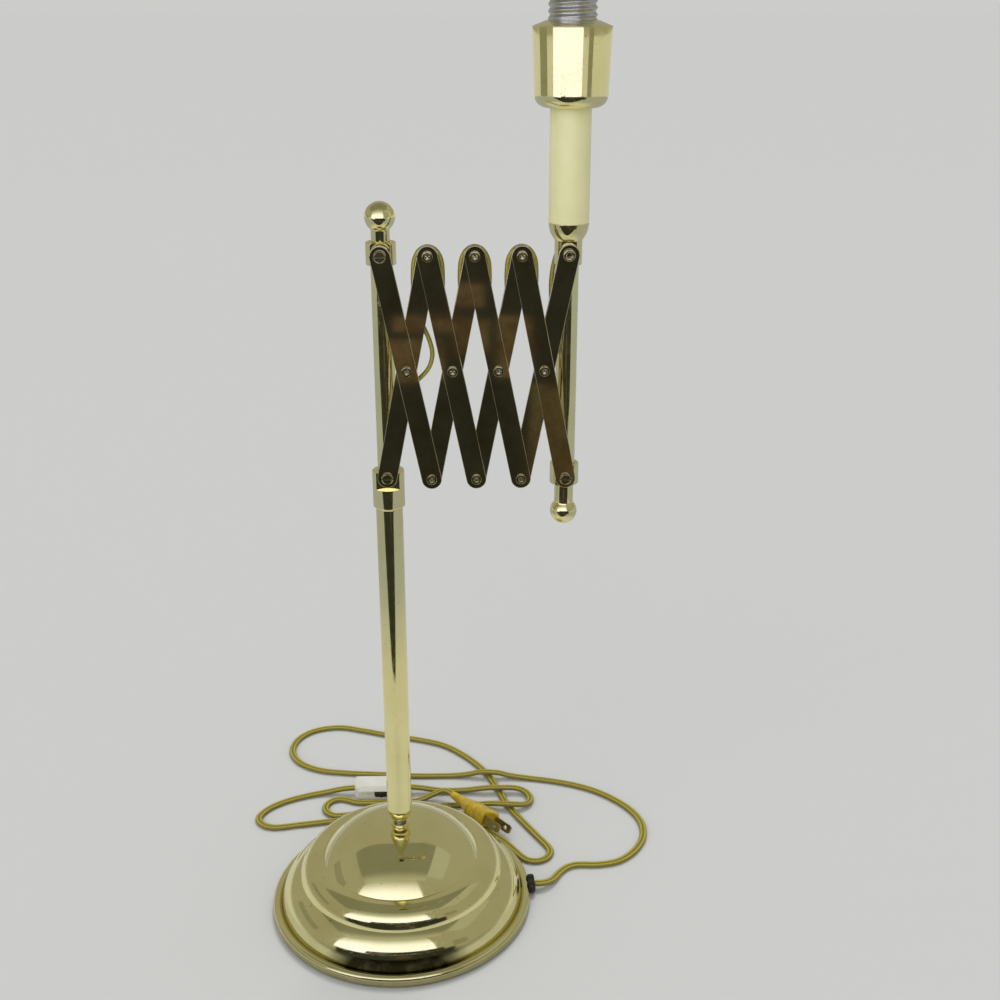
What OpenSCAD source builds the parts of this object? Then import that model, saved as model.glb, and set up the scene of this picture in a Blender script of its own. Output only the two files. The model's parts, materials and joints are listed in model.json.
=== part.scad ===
// Accordion desk lamp: a weighted three-tier base, a post, and a scissor arm
// of crossed links between two rails, carrying a bare screw-shell lampholder.
// Millimetres. Origin at the centre of the underside, +X along the arm,
// -Y towards the side that shows the pivot heads, +Z up.

/* [Base] */
// Overall diameter of the base
base_d = 180; // [172:1:200]
// Wall of the spun brass base shell
base_wall = 1.5; // [1:0.1:2]
// Width of the rolled rim
rim_w = 6.5; // [5.5:0.1:8]
// Height of the valley behind the rolled rim
rim_h = 6.4; // [6:0.1:9]
// Height of the first tier's crest
tier1_h = 27.5; // [24:0.5:32]
// Height of the second tier's crest
tier2_h = 40; // [37:0.5:46]
// Height of the crown of the dome
dome_h = 62; // [56:0.5:70]
// Width of the first tier, seen from above
tier1_w = 14; // [12:0.5:17]
// Width of the second tier, seen from above
tier2_w = 16.5; // [14:0.5:20]
// Thickness of the felt pad
felt_t = 1.5; // [1:0.1:2]
// Diameter of the threaded tube that clamps the base to the post
nipple_d = 8; // [7.6:0.1:9]

/* [Post] */
// Outer diameter of the post
post_d = 16.5; // [15.5:0.1:19]
// Bore of the post
post_bore = 12; // [11:0.1:12.6]
// Height of the bare neck under the post
neck_h = 3.6; // [2:0.1:8]
// Length of the post
post_len = 229.1; // [180:0.1:280]

/* [Arm] */
// Distance between the two end pivots of a link
link_len = 137.5; // [125:0.5:160]
// Width of a link
link_w = 12; // [9:0.1:12.5]
// Thickness of a link
link_t = 2.4; // [1.6:0.1:3]
// Distance between neighbouring pivots along the arm, as it stands
spacing = 27; // [25:0.5:60]
// Diameter of the two rails
rail_d = 12.5; // [11.5:0.1:13]
// Wall of the rails
rail_wall = 1.5; // [1:0.1:2]
// Shank diameter of the rivets and pivot screws
pin_d = 4; // [3:0.1:4.6]
// Head diameter of the rivets
rivet_head_d = 6.4; // [6:0.1:8]
// Head diameter of the pivot screws
screw_head_d = 7.4; // [6.6:0.1:9]
// Diameter of the fitting on the post
mast_d = 19.6; // [18.5:0.1:22]
// Height of the fitting on the post
mast_h = 23.5; // [22:0.1:30]
// Diameter of the sliding collars
collar_d = 17.6; // [17:0.1:20]
// Height of the sliding collars
collar_h = 13; // [11:0.5:15]
// Diameter of the ball on the left rail
left_ball_d = 17.6; // [15:0.1:20]
// Diameter of the ball under the right rail
right_ball_d = 16.5; // [15:0.1:20]

/* [Lampholder] */
// Diameter of the fitting over the right rail
head_d = 15.9; // [15.5:0.1:18]
// Diameter of the stem tube
stem_d = 23.2; // [22:0.1:25]
// Wall of the stem tube
stem_wall = 1.5; // [1:0.1:2]
// Length of the stem tube
stem_len = 63; // [50:1:90]
// Diameter of the cup at its mouth
cup_d = 44; // [42.5:0.5:50]
// Wall of the cup and its lid
cup_wall = 1.2; // [0.8:0.1:1.6]
// Height of the cup
cup_h = 41.8; // [38:0.1:50]
// Outer diameter of the screw shell
shell_d = 27; // [26:0.1:28]
// Wall of the screw shell
shell_wall = 0.4; // [0.3:0.05:0.6]
// Height of the screw shell above the cup's lid
shell_h = 26; // [20:0.5:30]

/* [Cord] */
// Width of the flat cord
cord_w = 5.6; // [5:0.1:5.6]
// Thickness of the flat cord
cord_t = 2.8; // [2.4:0.1:2.8]
// Diameter of the cord along the arm
arm_cord_d = 2.7; // [2.2:0.1:2.8]
// Length of the switch on the cord
switch_len = 42; // [40:0.5:42]
// Width of the switch on the cord
switch_w = 20; // [18:0.5:21]
// Height of the switch on the cord
switch_h = 11.8; // [11:0.1:13]
// Diameter of the switch's wheel
wheel_d = 22; // [21.6:0.1:23]
// Length of the plug's blades outside its body
blade_len = 17; // [15:0.5:18]

/* [Hidden] */

// Named clearances
face_gap = 0.3;      // between flat faces that slide past each other
head_gap = 0.05;     // between a link and the head that holds it
run_gap = 0.07;      // radial, round a pin or shaft that turns
slide_gap = 0.1;     // radial, of a collar on its rail
snug_gap = 0.05;     // radial, round a fixed piece in its seat

// Colours
brass = "#cfc98a";
grey_brass = "#a9a57c";
dark_steel = "#4a463c";
aluminium = "#c9cbc8";
gold_cord = "#a89a2c";

// Facets of turned pieces
turned = 64;
$fn = 48;

// ---- Shared shapes and functions ----

// Points of an arc from a to b that bulges to the right of the way between
// them and turns by the angle turn, moved towards its centre by depth
function arc(a, b, turn, steps, depth = 0) =
    let (radius = norm(b - a) / 2 / sin(turn / 2), way = atan2(b[1] - a[1], b[0] - a[0]))
    let (centre = (a + b) / 2 + radius * cos(turn / 2) * [-sin(way), cos(way)])
    [for (i = [0:steps])
        let (angle = way - 90 - turn / 2 + turn * i / steps)
        centre + (radius - depth) * [cos(angle), sin(angle)]];

function reversed(list) = [for (i = [len(list) - 1:-1:0]) list[i]];

function unit(v) = v / norm(v);

function tangents(path) =
    let (last = len(path) - 1)
    [for (i = [0:last]) unit(path[min(i + 1, last)] - path[max(i - 1, 0)])];

// Normals carried along a path without twist
function normals(ways, first) =
    [for (i = 0, n = unit(cross(ways[0], first)); i < len(ways);
          i = i + 1, n = i < len(ways) ? unit(n - (n * ways[i]) * ways[i]) : n) n];

// Skin over rings of points, closed at both ends
module skin(rings) {
    count = len(rings);
    sides = len(rings[0]);
    walls = [for (i = [0:count - 2], j = [0:sides - 1], k = [0:1])
        let (a = i * sides + j, b = i * sides + (j + 1) % sides)
        k == 0 ? [a, b, b + sides] : [a, b + sides, a + sides]];
    start = [for (j = [sides - 1:-1:0]) j];
    end = [for (j = [0:sides - 1]) (count - 1) * sides + j];
    polyhedron([for (ring = rings) each ring], concat([start], walls, [end]), convexity = 10);
}

module round_cord(path, d, first = [0, 1, 0]) {
    ways = tangents(path);
    side = normals(ways, first);
    skin([for (i = [0:len(path) - 1]) [for (j = [0:7])
        path[i] + d / 2 * (cos(45 * j) * side[i] + sin(45 * j) * cross(side[i], ways[i]))]]);
}

// A flat cord that lies on its wide side
module flat_cord(path) {
    w = cord_w / 2;
    t = cord_t / 2;
    section = [[w, -t / 2], [w, t / 2], [w - t / 2, t], [t / 2 - w, t],
               [-w, t / 2], [-w, -t / 2], [t / 2 - w, -t], [w - t / 2, -t]];
    ways = tangents(path);
    skin([for (i = [0:len(path) - 1])
        let (side = unit(cross(ways[i], [0, 0, 1])), up = cross(side, ways[i]))
        [for (s = section) path[i] + s[0] * side + s[1] * up]]);
}

// A round bar along Y, from the distance low to high in front of the axis
module bar_y(x, z, low, high, r) {
    translate([x, -low, z]) rotate([90, 0, 0]) cylinder(h = high - low, r = r);
}

// A turned piece along Y: its outline is [radius, distance in front]
module turned_y(x, z, outline) {
    translate([x, 0, z]) rotate([90, 0, 0]) rotate_extrude() polygon(outline);
}

module tube(r, bore, low, high) {
    translate([0, 0, low]) difference() {
        cylinder(h = high - low, r = r, $fn = turned);
        translate([0, 0, -1]) cylinder(h = high - low + 2, r = bore, $fn = turned);
    }
}

// Everything in front of a flat, between two heights
module flat_cut(low, high) {
    translate([-mast_d, -flat_y - mast_d, low]) cube([2 * mast_d, mast_d, high - low]);
}

// ---- Base ----
base_r = base_d / 2;
rim_top = [base_r - 0.5, rim_h - 0.6];
valley = [base_r - rim_w, rim_h];
crest1 = [valley[0] - tier1_w, tier1_h];
crest2 = [crest1[0] - tier2_w, tier2_h];
crown = [6, dome_h];
rim_turn = 130;
tier_turn = 55;
step_turn = 84;
dome_turn = 56;
arc_steps = 12;
shell_low = 0.4;
skirt_h = 2.6;
nipple_r = nipple_d / 2;
nipple_bore = 3;
nipple_low = felt_t + 6;
nut_h = 4;
nut_flats = 13;
washer_t = 1.5;
washer_r = 14;
recess_top = nipple_low + 0.5 + nut_h + washer_t;
locknut_h = 2;
weight_r = valley[0] - base_wall - 2 * face_gap;
cord_way = 3.9;                         // direction in which the cord leaves the base
relief_w = 9.6;
relief_h = 6.6;
relief_low = felt_t;
relief_z = relief_low + relief_h / 2;
relief_in = weight_r + face_gap;
lobe_r = 4.3;
lobe_step = 3.6;
lobe_out = base_r + 3.5;

module relief_slot(play) {
    rotate([0, 0, cord_way])
        translate([relief_in, -relief_w / 2 - play, relief_low])
        cube([base_r - relief_in + 2 * play, relief_w + 2 * play, relief_h + play]);
}

module base_shell() {
    hole = nipple_r + snug_gap;
    outer = concat(
        [[base_r - 1.1, shell_low], [base_r, skirt_h]],
        arc(rim_top, valley, rim_turn, arc_steps),
        arc(valley, crest1, tier_turn, arc_steps),
        arc(crest1, crest2, step_turn, arc_steps),
        arc(crest2, crown, dome_turn, arc_steps),
        [[hole, dome_h]]);
    inner = concat(
        [[base_r - 1.1 - base_wall, shell_low], [base_r - base_wall, skirt_h]],
        arc(rim_top, valley, rim_turn, arc_steps, base_wall),
        [valley - [0.2, base_wall]],
        arc(valley, crest1, tier_turn, arc_steps, base_wall),
        arc(crest1, crest2, step_turn, arc_steps, base_wall),
        arc(crest2, crown, dome_turn, arc_steps, base_wall),
        [[hole, dome_h - base_wall]]);
    color(brass) difference() {
        rotate_extrude($fn = 2 * turned) polygon(concat(outer, reversed(inner)));
        translate([0, 0, -felt_t]) relief_slot(snug_gap);
        relief_slot(snug_gap);
    }
}

// Cast iron, shaped to the inside of the shell, with a recess for the nut
// and a groove for the cord on its underside
module base_weight() {
    side = arc(valley, crest1, tier_turn, arc_steps, base_wall + face_gap);
    top = side[arc_steps][1];
    hole = nipple_r + 0.2;
    recess_r = washer_r + 1;
    outline = concat(
        [[recess_r, felt_t], [weight_r, felt_t], [weight_r, rim_h - 1.5]],
        side,
        [[hole, top], [hole, recess_top], [recess_r, recess_top]]);
    groove_w = 6;
    groove_top = felt_t + 5.5;
    color(dark_steel) difference() {
        rotate_extrude($fn = 2 * turned) polygon(outline);
        rotate([0, 0, cord_way]) translate([recess_r - 2, -groove_w / 2, 0])
            cube([base_r, groove_w, groove_top]);
    }
}

module felt_pad() {
    color("#5b5443") cylinder(h = felt_t, r = base_r - 1.1 - base_wall - 0.5, $fn = 2 * turned);
}

module base_nipple() {
    color(dark_steel) tube(nipple_r, nipple_bore, nipple_low, post_low + 16);
}

module base_locknut() {
    color(brass) tube(crown[0], nipple_r + snug_gap, dome_h, dome_h + locknut_h);
}

module base_washer() {
    color(aluminium) tube(washer_r, nipple_r + snug_gap, recess_top - washer_t, recess_top);
}

module hex_nut(flats, bore, low, high) {
    translate([0, 0, low]) difference() {
        cylinder(h = high - low, r = flats / 2 / cos(30), $fn = 6);
        translate([0, 0, -1]) cylinder(h = high - low + 2, r = bore);
    }
}

module base_nut() {
    low = nipple_low + 0.5;
    color(aluminium) hex_nut(nut_flats, nipple_r + snug_gap, low, low + nut_h);
}

// Bushing in the rim: a block in the slot and two round lobes outside it
module strain_relief() {
    color("#1d1a14") {
        relief_slot(0);
        rotate([0, 0, cord_way]) for (side = [-1, 1])
            translate([base_r, side * lobe_step, relief_z + 0.4]) rotate([0, 90, 0])
            cylinder(h = lobe_out - base_r, r = lobe_r);
    }
}

module cord_inner() {
    low = 3.4;
    flat_part = [for (r = [relief_in, 72, 60, 40, 20, 8, 3]) [r, r > 72 ? relief_z : low]];
    bend = [[0.9, low + 0.9], [0, low + 3], [0, 20], [0, dome_h], [0, mast_low - 2]];
    route = [for (p = concat(flat_part, bend)) [p[0] * cos(cord_way), p[0] * sin(cord_way), p[1]]];
    color(gold_cord) round_cord(route, arm_cord_d);
}

// ---- Post and left rail ----
post_r = post_d / 2;
post_low = dome_h + locknut_h + neck_h;
post_top = post_low + post_len;
post_foot_r = 5.8;
post_foot_h = 9.4;
mast_r = mast_d / 2;
mast_low = post_top + face_gap;
mast_top = mast_low + mast_h;
rail_seat = mast_low + 8;
flat_low = mast_low + 12.7;
rail_r = rail_d / 2;
pin_r = pin_d / 2;
flat_y = rail_r + 0.45;                 // the flats, in front of the rails' axes
spigot_len = 20;

// Rows of pivots
link_lean = asin(spacing / link_len);
row_b = mast_top - 2.5;
row_t = row_b + link_len * cos(link_lean);
row_m = (row_b + row_t) / 2;
head_x = 4 * spacing;

// Layers, as distances in front of the rails' axes
back_y = flat_y + face_gap;
mid_y = back_y + link_t;
front_y = mid_y + face_gap;
face_y = front_y + link_t;
screw_deep = 4.2;                       // where the screws through the rails end

module post() {
    foot = post_low + post_foot_h;
    hole = nipple_r + snug_gap;
    bore = post_bore / 2;
    color(brass) rotate_extrude($fn = turned) polygon(concat(
        [[hole, post_low]],
        arc([post_foot_r, post_low], [post_r, foot], 40, 6),
        [[post_r, post_top - 0.5], [post_r - 0.5, post_top], [bore, post_top],
         [bore, post_low + 18], [hole, post_low + 18]]));
}

module mast_fitting() {
    seat = rail_r + snug_gap;
    spigot = post_bore / 2 - run_gap;
    bore = nipple_bore;
    color(brass) difference() {
        rotate_extrude($fn = turned) polygon([
            [bore, mast_low - spigot_len], [spigot, mast_low - spigot_len], [spigot, mast_low],
            [mast_r - 0.5, mast_low], [mast_r, mast_low + 0.5],
            [mast_r, mast_top - 0.5], [mast_r - 0.5, mast_top],
            [seat, mast_top], [seat, rail_seat], [bore, rail_seat]]);
        flat_cut(flat_low, mast_top + 1);
        bar_y(0, row_b, screw_deep, mast_r, pin_r + snug_gap);
        bar_y(0, mast_low + 5, -mast_r - 1, 0, arm_cord_d / 2 + 0.8);
    }
}

rail_top = row_t + collar_h / 2;
module left_rail() {
    color(brass) difference() {
        tube(rail_r, rail_r - rail_wall, rail_seat, rail_top);
        bar_y(0, row_b, 2, rail_r + 1, pin_r + snug_gap);
    }
}

// A ball on a neck, with a spigot in the rail; it grows upwards from the rail's end
module finial(ball_d, ball_up, neck_d) {
    spigot = rail_r - rail_wall - snug_gap;
    translate([0, 0, -10]) cylinder(h = 10.5, r = spigot);
    cylinder(h = ball_up, r = neck_d / 2);
    translate([0, 0, ball_up]) sphere(r = ball_d / 2, $fn = turned);
}

left_ball_up = left_ball_d / 2 + 5.3;
module left_finial() {
    color(brass) translate([0, 0, rail_top]) finial(left_ball_d, left_ball_up, rail_d - 1.7);
}

// Slotted screw along Y; deep is where its shank ends, under is its head's seat
module slotted_screw(x, z, deep, under) {
    r = screw_head_d / 2;
    top = under + 1.7;
    difference() {
        turned_y(x, z, [[0, deep], [pin_r, deep], [pin_r, under], [r, under], [r, under + 0.9],
                        [r - 0.8, top], [0, top]]);
        translate([x - r, -top - 0.5, z - 0.45]) cube([2 * r, 1.2, 0.9]);
    }
}

module pivot_screw() {
    color(brass) slotted_screw(0, row_b, screw_deep, mid_y + head_gap);
}

// ---- Links and rivets ----

// A flat link with round ends and three pivot holes. It stands on the lower
// row at x and leans by lean; its rear face is rear in front of the rails' axes
module link(x, lean, rear) {
    hole = pin_r + run_gap;
    translate([x, -rear, row_b]) rotate([0, lean, 0]) difference() {
        union() {
            for (z = [0, link_len]) bar_y(0, z, 0, link_t, link_w / 2);
            translate([-link_w / 2, -link_t, 0]) cube([link_w, link_t, link_len]);
        }
        for (z = [0, link_len / 2, link_len]) bar_y(0, z, -1, link_t + 1, hole);
    }
}

module link_back(i) {
    color(grey_brass) link((i - 1) * spacing, link_lean, back_y);
}

module link_front(i) {
    color(grey_brass) link(i * spacing, -link_lean, front_y);
}

// A hollow-ended rivet through a front and a back link
module rivet(x, z) {
    r = rivet_head_d / 2;
    under = back_y - head_gap;
    low = under - 1.1;
    top = face_y + 1.2;
    dimple = 1.3;
    turned_y(x, z, [[0, low], [r - 0.5, low], [r, low + 0.5], [r, under], [pin_r, under],
                    [pin_r, face_y], [r, face_y], [r - 0.3, face_y + 0.7], [r - 1.1, top],
                    [dimple, top], [dimple / 2, top - 0.7], [0, top - 0.7]]);
}

// The rivets that front link i carries: at its top, its middle and its foot
module rivets(i) {
    color(brass) {
        if (i > 1) rivet((i - 1) * spacing, row_t);
        rivet((i - 0.5) * spacing, (row_b + row_t) / 2);
        if (i < 4) rivet(i * spacing, row_b);
    }
}

// ---- Sliding collars ----

// A collar with a flat and a boss in front of it, drilled for its screw
module collar(x, z) {
    bore = rail_r + slide_gap;
    r = collar_d / 2;
    low = z - collar_h / 2;
    boss_r = 4.5;
    difference() {
        union() {
            difference() {
                translate([x, 0, low]) rotate_extrude($fn = turned) polygon([
                    [bore, 0], [r - 0.4, 0], [r, 0.4], [r, collar_h - 0.4], [r - 0.4, collar_h],
                    [bore, collar_h]]);
                translate([x, 0, 0]) flat_cut(low - 1, low + collar_h + 1);
            }
            bar_y(x, z, flat_y - 0.1, mid_y, boss_r);
        }
        bar_y(x, z, back_y, mid_y + 1, pin_r + snug_gap);
    }
}

module left_collar() {
    color(brass) collar(0, row_t);
}

module right_collar() {
    color(brass) collar(head_x, row_b);
}

module left_collar_screw() {
    color(brass) slotted_screw(0, row_t, back_y + 0.1, face_y + head_gap);
}

module right_collar_screw() {
    color(brass) slotted_screw(head_x, row_b, back_y + 0.1, face_y + head_gap);
}

// ---- Right rail and stem ----
head_r = head_d / 2;
head_low = row_t - 7;
head_flat_top = row_t + 7.2;
stem_r = stem_d / 2;
stem_low = row_t + 17.2;
stem_top = stem_low + stem_len;
stem_bore = stem_r - stem_wall;
head_seat = head_low + 12.2;
cord_entry = row_t + 11.5;
right_rail_low = row_b - collar_h / 2 - 0.5;

module right_fitting() {
    seat = rail_r + snug_gap;
    spigot = stem_bore - snug_gap;
    color(brass) translate([head_x, 0, 0]) difference() {
        rotate_extrude($fn = turned) polygon(concat(
            [[seat, head_low], [head_r - 0.5, head_low], [head_r, head_low + 0.5]],
            arc([head_r, head_flat_top], [stem_r, stem_low], 40, 8),
            [[spigot, stem_low], [spigot, stem_low + 8], [nipple_bore, stem_low + 8],
             [nipple_bore, head_seat], [seat, head_seat]]));
        flat_cut(head_low - 1, head_flat_top);
        bar_y(0, row_t, 3, head_r + 1, pin_r + snug_gap);
        bar_y(0, cord_entry, -stem_r, 0, arm_cord_d / 2 + 0.8);
    }
}

// Hollow rivet with a rolled ring, through the last link and the rail
module pivot_eyelet() {
    r = screw_head_d / 2;
    bore = pin_r - 0.8;
    under = mid_y + head_gap;
    color(brass) turned_y(head_x, row_t, [
        [bore, screw_deep], [pin_r, screw_deep], [pin_r, under], [r, under], [r, under + 0.6],
        [r - 0.6, under + 1.2], [bore + 0.6, under + 1.2], [bore, under + 0.6]]);
}

module right_rail() {
    color(brass) translate([head_x, 0, 0]) difference() {
        tube(rail_r, rail_r - rail_wall, right_rail_low, head_seat);
        bar_y(0, row_t, 2, rail_r + 1, pin_r + snug_gap);
    }
}

right_ball_up = right_ball_d / 2 + 10;
module right_finial() {
    color(brass) translate([head_x, 0, right_rail_low]) mirror([0, 0, 1])
        finial(right_ball_d, right_ball_up, rail_d - 1);
}

module stem_tube() {
    color(brass) translate([head_x, 0, 0]) tube(stem_r, stem_bore, stem_low, stem_top);
}

// ---- Lampholder ----
cup_nipple_r = 5;
cup_low = stem_top;
cup_top = cup_low + cup_h;
cup_r = cup_d / 2;
cup_side = cup_low + 7;
cup_side_r = cup_r - 1.35;
cup_foot_r = cup_side_r - 5.5;
cup_nut_h = 4;
cup_nut_top = cup_low + cup_wall + cup_nut_h;
cup_nipple_top = cup_nut_top + 9;
shell_r = shell_d / 2;
shell_bore = shell_r - shell_wall;
lid_h = 3.2;
lid_top = cup_top + lid_h;
lid_rim_h = 10;
flange_top = cup_top - lid_rim_h;
flange_h = 5;
flange_r = cup_side_r - cup_wall + 0.5;
core_top = lid_top - 1;
shell_step = 0.7;

module stem_plug() {
    color(brass) translate([head_x, 0, 0])
        tube(stem_bore - snug_gap, cup_nipple_r + snug_gap, stem_top - 10, stem_top);
}

module cup_nipple() {
    color(dark_steel) translate([head_x, 0, 0])
        tube(cup_nipple_r, nipple_bore, stem_top - 12, cup_nipple_top);
}

module cup_nut() {
    color(aluminium) translate([head_x, 0, 0])
        hex_nut(nut_flats + 2, cup_nipple_r + snug_gap, cup_low + cup_wall, cup_nut_top);
}

module socket_cup() {
    hole = cup_nipple_r + snug_gap;
    foot = [cup_foot_r, cup_low];
    corner = [cup_side_r, cup_side];
    color(brass) translate([head_x, 0, 0]) rotate_extrude($fn = turned) polygon(concat(
        [[hole, cup_low]], arc(foot, corner, 80, 10),
        [[cup_r, cup_top], [cup_r - cup_wall, cup_top]],
        reversed(arc(foot, corner, 80, 10, cup_wall)),
        [[hole, cup_low + cup_wall]]));
}

// Shallow cone with a rim inside the cup
module socket_lid() {
    hole = shell_r + 0.15;
    rim_r = cup_r - 2 * cup_wall + 0.6;
    rim_in = rim_r - cup_wall;
    color(brass) translate([head_x, 0, 0]) rotate_extrude($fn = turned) polygon([
        [hole, lid_top], [hole, lid_top - cup_wall], [rim_in, cup_top - cup_wall],
        [rim_in, flange_top], [rim_r, flange_top], [rim_r, cup_top], [cup_r, cup_top],
        [cup_r, cup_top + 0.3], [shell_r + 1.2, lid_top]]);
}

// Insulator: a threaded foot on the nipple, a flange in the cup and a core
module socket_body() {
    foot_r = 9;
    core_r = shell_bore - shell_step - snug_gap;
    thread_r = cup_nipple_r + snug_gap;
    color("#e9e4d2") translate([head_x, 0, 0]) rotate_extrude($fn = turned) polygon([
        [thread_r, cup_nut_top], [foot_r, cup_nut_top], [foot_r, flange_top - flange_h],
        [flange_r, flange_top - flange_h], [flange_r, flange_top], [core_r, flange_top],
        [core_r, core_top], [0, core_top], [0, cup_nipple_top + 3],
        [thread_r, cup_nipple_top + 3]]);
}

// The bulb's thread stops at a step above the core
module screw_shell() {
    top = lid_top + shell_h;
    step = core_top + 3;
    color(aluminium) translate([head_x, 0, 0]) rotate_extrude($fn = turned) polygon([
        [shell_bore - shell_step, flange_top], [shell_r, flange_top], [shell_r, top],
        [shell_bore, top], [shell_bore, step], [shell_bore - shell_step, step]]);
}

// Spring tongue under the bulb
module centre_contact() {
    color(brass) translate([head_x, 0, core_top]) {
        translate([-9, -2.5, 0]) cube([12, 5, 0.8]);
        cylinder(h = 1.6, r = 3);
    }
}

// ---- Cords ----
// Round numbers chosen by hand along the routes
floor_z = 1.5;          // axis of a flat cord that lies on the floor
over_z = 5;             // axis of a flat cord that lies over another
switch_x = -22;
switch_y = 127;
switch_z = switch_h / 2;
plug_at = [63, 76, 9.6];
plug_way = -50;
plug_roll = -30;
plug_back = 44;
plug_end = plug_at - plug_back * [cos(plug_way), sin(plug_way), 0];
lead_start_r = lobe_out + face_gap;
lead_start = [lead_start_r * cos(cord_way), lead_start_r * sin(cord_way), relief_z + 0.4];

lead_route = concat([lead_start], [
    [97.6, 6.7, 5], [101.4, 8, 4.6], [104.9, 10.9, 3.6], [108, 15.3, 2.4], [111.8, 21.8, floor_z],
    [117.5, 27.8, floor_z], [124.5, 31, floor_z], [142, 31, floor_z], [157, 35, floor_z],
    [170, 47, floor_z], [178, 63, floor_z], [179, 81, floor_z], [173, 97, floor_z],
    [160, 113.5, floor_z], [143, 127, floor_z], [120, 137, floor_z], [97, 143, floor_z],
    [80, 145.5, 3], [70, 146.5, 5.2], [56, 147.5, 5.2], [46, 148, 3], [32, 148.5, floor_z],
    [3, 149, floor_z], [-27, 152, floor_z], [-52, 154.5, floor_z], [-76, 159.5, floor_z],
    [-93, 171, floor_z], [-101, 188, floor_z], [-98, 207, floor_z], [-86, 220, floor_z],
    [-65, 225, floor_z], [-43, 219, floor_z], [-18, 210, floor_z], [6, 203, floor_z],
    [26, 194, floor_z], [44, 177, floor_z], [60, 154, floor_z], [70, 129, floor_z],
    [78, 105, floor_z], [98.5, 66, floor_z], [105.6, 53, floor_z], [107, 47.5, floor_z],
    [105.5, 41.8, floor_z], [101.3, 37.5, floor_z], [95.5, 36, floor_z], [89.8, 37.5, floor_z],
    [86, 41, floor_z], [81, 48.5, floor_z], [72, 61.5, floor_z], [57, 76, floor_z],
    [40, 86, floor_z], [22, 92.5, floor_z], [3, 94.5, floor_z], [-40, 91.6, floor_z],
    [-84, 84.6, floor_z], [-102, 82, floor_z], [-111, 86, floor_z], [-115, 94, floor_z],
    [-111, 104, floor_z], [-100, 114, floor_z], [-84, 122, floor_z], [-66, 126.5, 2.6],
    [-52, switch_y, 5.2]], [[switch_x - switch_len / 2, switch_y, switch_z]]);

tail_route = concat([[switch_x + switch_len / 2, switch_y, switch_z]], [
    [8, 127, 5], [24, 126.5, 2.6], [44, 126, 2.8], [62, 125.5, over_z], [76, 125.5, over_z],
    [84, 125.2, 4.6], [89.7, 123.7, 3.6], [93.9, 119.5, 2.6], [95.4, 113.8, 2.2], [93.9, 108, 2.6],
    [89.7, 103.9, 3.8], [84, 102.4, over_z], [74, 103.4, over_z], [62, 105.8, 3.8],
    [48, 107.2, floor_z], [18, 107, floor_z], [-24, 101.5, floor_z], [-52, 96, floor_z],
    [-58.6, 96.8, floor_z], [-63.5, 101.3, floor_z], [-65, 106.8, floor_z], [-63.5, 112.3, floor_z],
    [-59.5, 116.3, floor_z], [-54, 117.8, floor_z], [-48.5, 116.3, floor_z], [-43, 113.7, floor_z],
    [-36, 112.4, floor_z], [6, 113.5, 2], [18, 117, 5], [26, 117.6, 8], [31, 114.4, 9.4]],
    [plug_end]);

// The cord along the arm, in runs that ride on what they lie behind: out of the
// mast, up behind the first link, over each upper pivot, down and round behind
// each crossing, and into the stem. Heights are measured from a row or the mast.
cord_y = -4;
cut_gap = 0.3;

function from(x, row, run) = [for (p = run) [x + p[0], p[1], row + p[2]]];
function behind(x, row, run) = [for (p = run) [x + p[0], cord_y, row + p[1]]];

out_of_mast = from(0, mast_low, [
    [0, 0, 0], [0, 0.4, 2.8], [0, 2.5, 4.6], [0, 6, 5.2], [0, 10, 6], [0, 12.3, 9], [0, 12.6, 17],
    [0.5, 11.4, 27], [2, 9.4, 39]]);
slack = from(0, mast_low, [
    [2, 9.4, 39], [5, 7.4, 50], [8.6, 3.2, 60], [10.6, -1.5, 69], [14, cord_y, 76.5],
    [20.5, cord_y, 82], [26.5, cord_y, 89], [28.6, cord_y, 97], [27, cord_y, 105.5],
    [23.5, cord_y, 114], [20.4, cord_y, 123]]);
rise = [[-8.4, -22.8], [-8.6, -10.8], [-7.6, -2.8], [-4.3, 2.7], [-1.2, 4.4], [0, 4.4]];
fall = [[0, 4.4], [1.2, 4.4], [4.3, 2.7], [7.6, -2.8], [8.4, -10.8], [8.2, -22.8], [8.2, -36.8]];
round_in = [[-5.4, 16.6], [-5.4, 12.6], [-3.8, 8.8], [-1.2, 7.3], [0, 7.3]];
round_out = [[0, 7.3], [1.2, 7.3], [3.8, 8.8], [5.4, 12.6], [5.4, 16.6]];
to_head = from(head_x, row_t, [
    [-8.6, cord_y, -39.8], [-9.4, -3, -28.8], [-9.6, 0.5, -18.8], [-8.4, 5, -9.8], [-5.8, 9.2, -1.8]]);
into_stem = from(head_x, row_t, [
    [-5.8, 9.2, -1.8], [-2.4, 12, 4.7], [0, 13.4, 9.2], [0, 11.6, 11.4], [0, 6, 11.6], [0, 2.4, 12.6],
    [0, 0.5, 15.2], [0, 0, 20.2], [0, 0, 47.2], [0, 0, 72.2], [0, 0, 94.2]]);

function down_run(i) =
    concat(behind(i * spacing, row_t, fall), behind((i + 0.5) * spacing, row_m, round_in));
function up_run(i) =
    concat(behind((i + 0.5) * spacing, row_m, round_out),
           i == 3 ? to_head : behind((i + 1) * spacing, row_t, concat([[-8.2, -36.8]], rise)));

arm_runs = [
    out_of_mast, concat(slack, behind(spacing, row_t, rise)),
    down_run(1), up_run(1), down_run(2), up_run(2), down_run(3), up_run(3), into_stem];

function shortened(run) =
    let (last = len(run) - 1)
    [for (i = [0:last])
        i == 0 ? run[0] + cut_gap * unit(run[1] - run[0]) :
        i == last ? run[last] - cut_gap * unit(run[last] - run[last - 1]) : run[i]];

module arm_cord(i) {
    color(gold_cord) round_cord(shortened(arm_runs[i - 1]), arm_cord_d);
}

module cord_lead() {
    color(gold_cord) flat_cord(lead_route);
}

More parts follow.
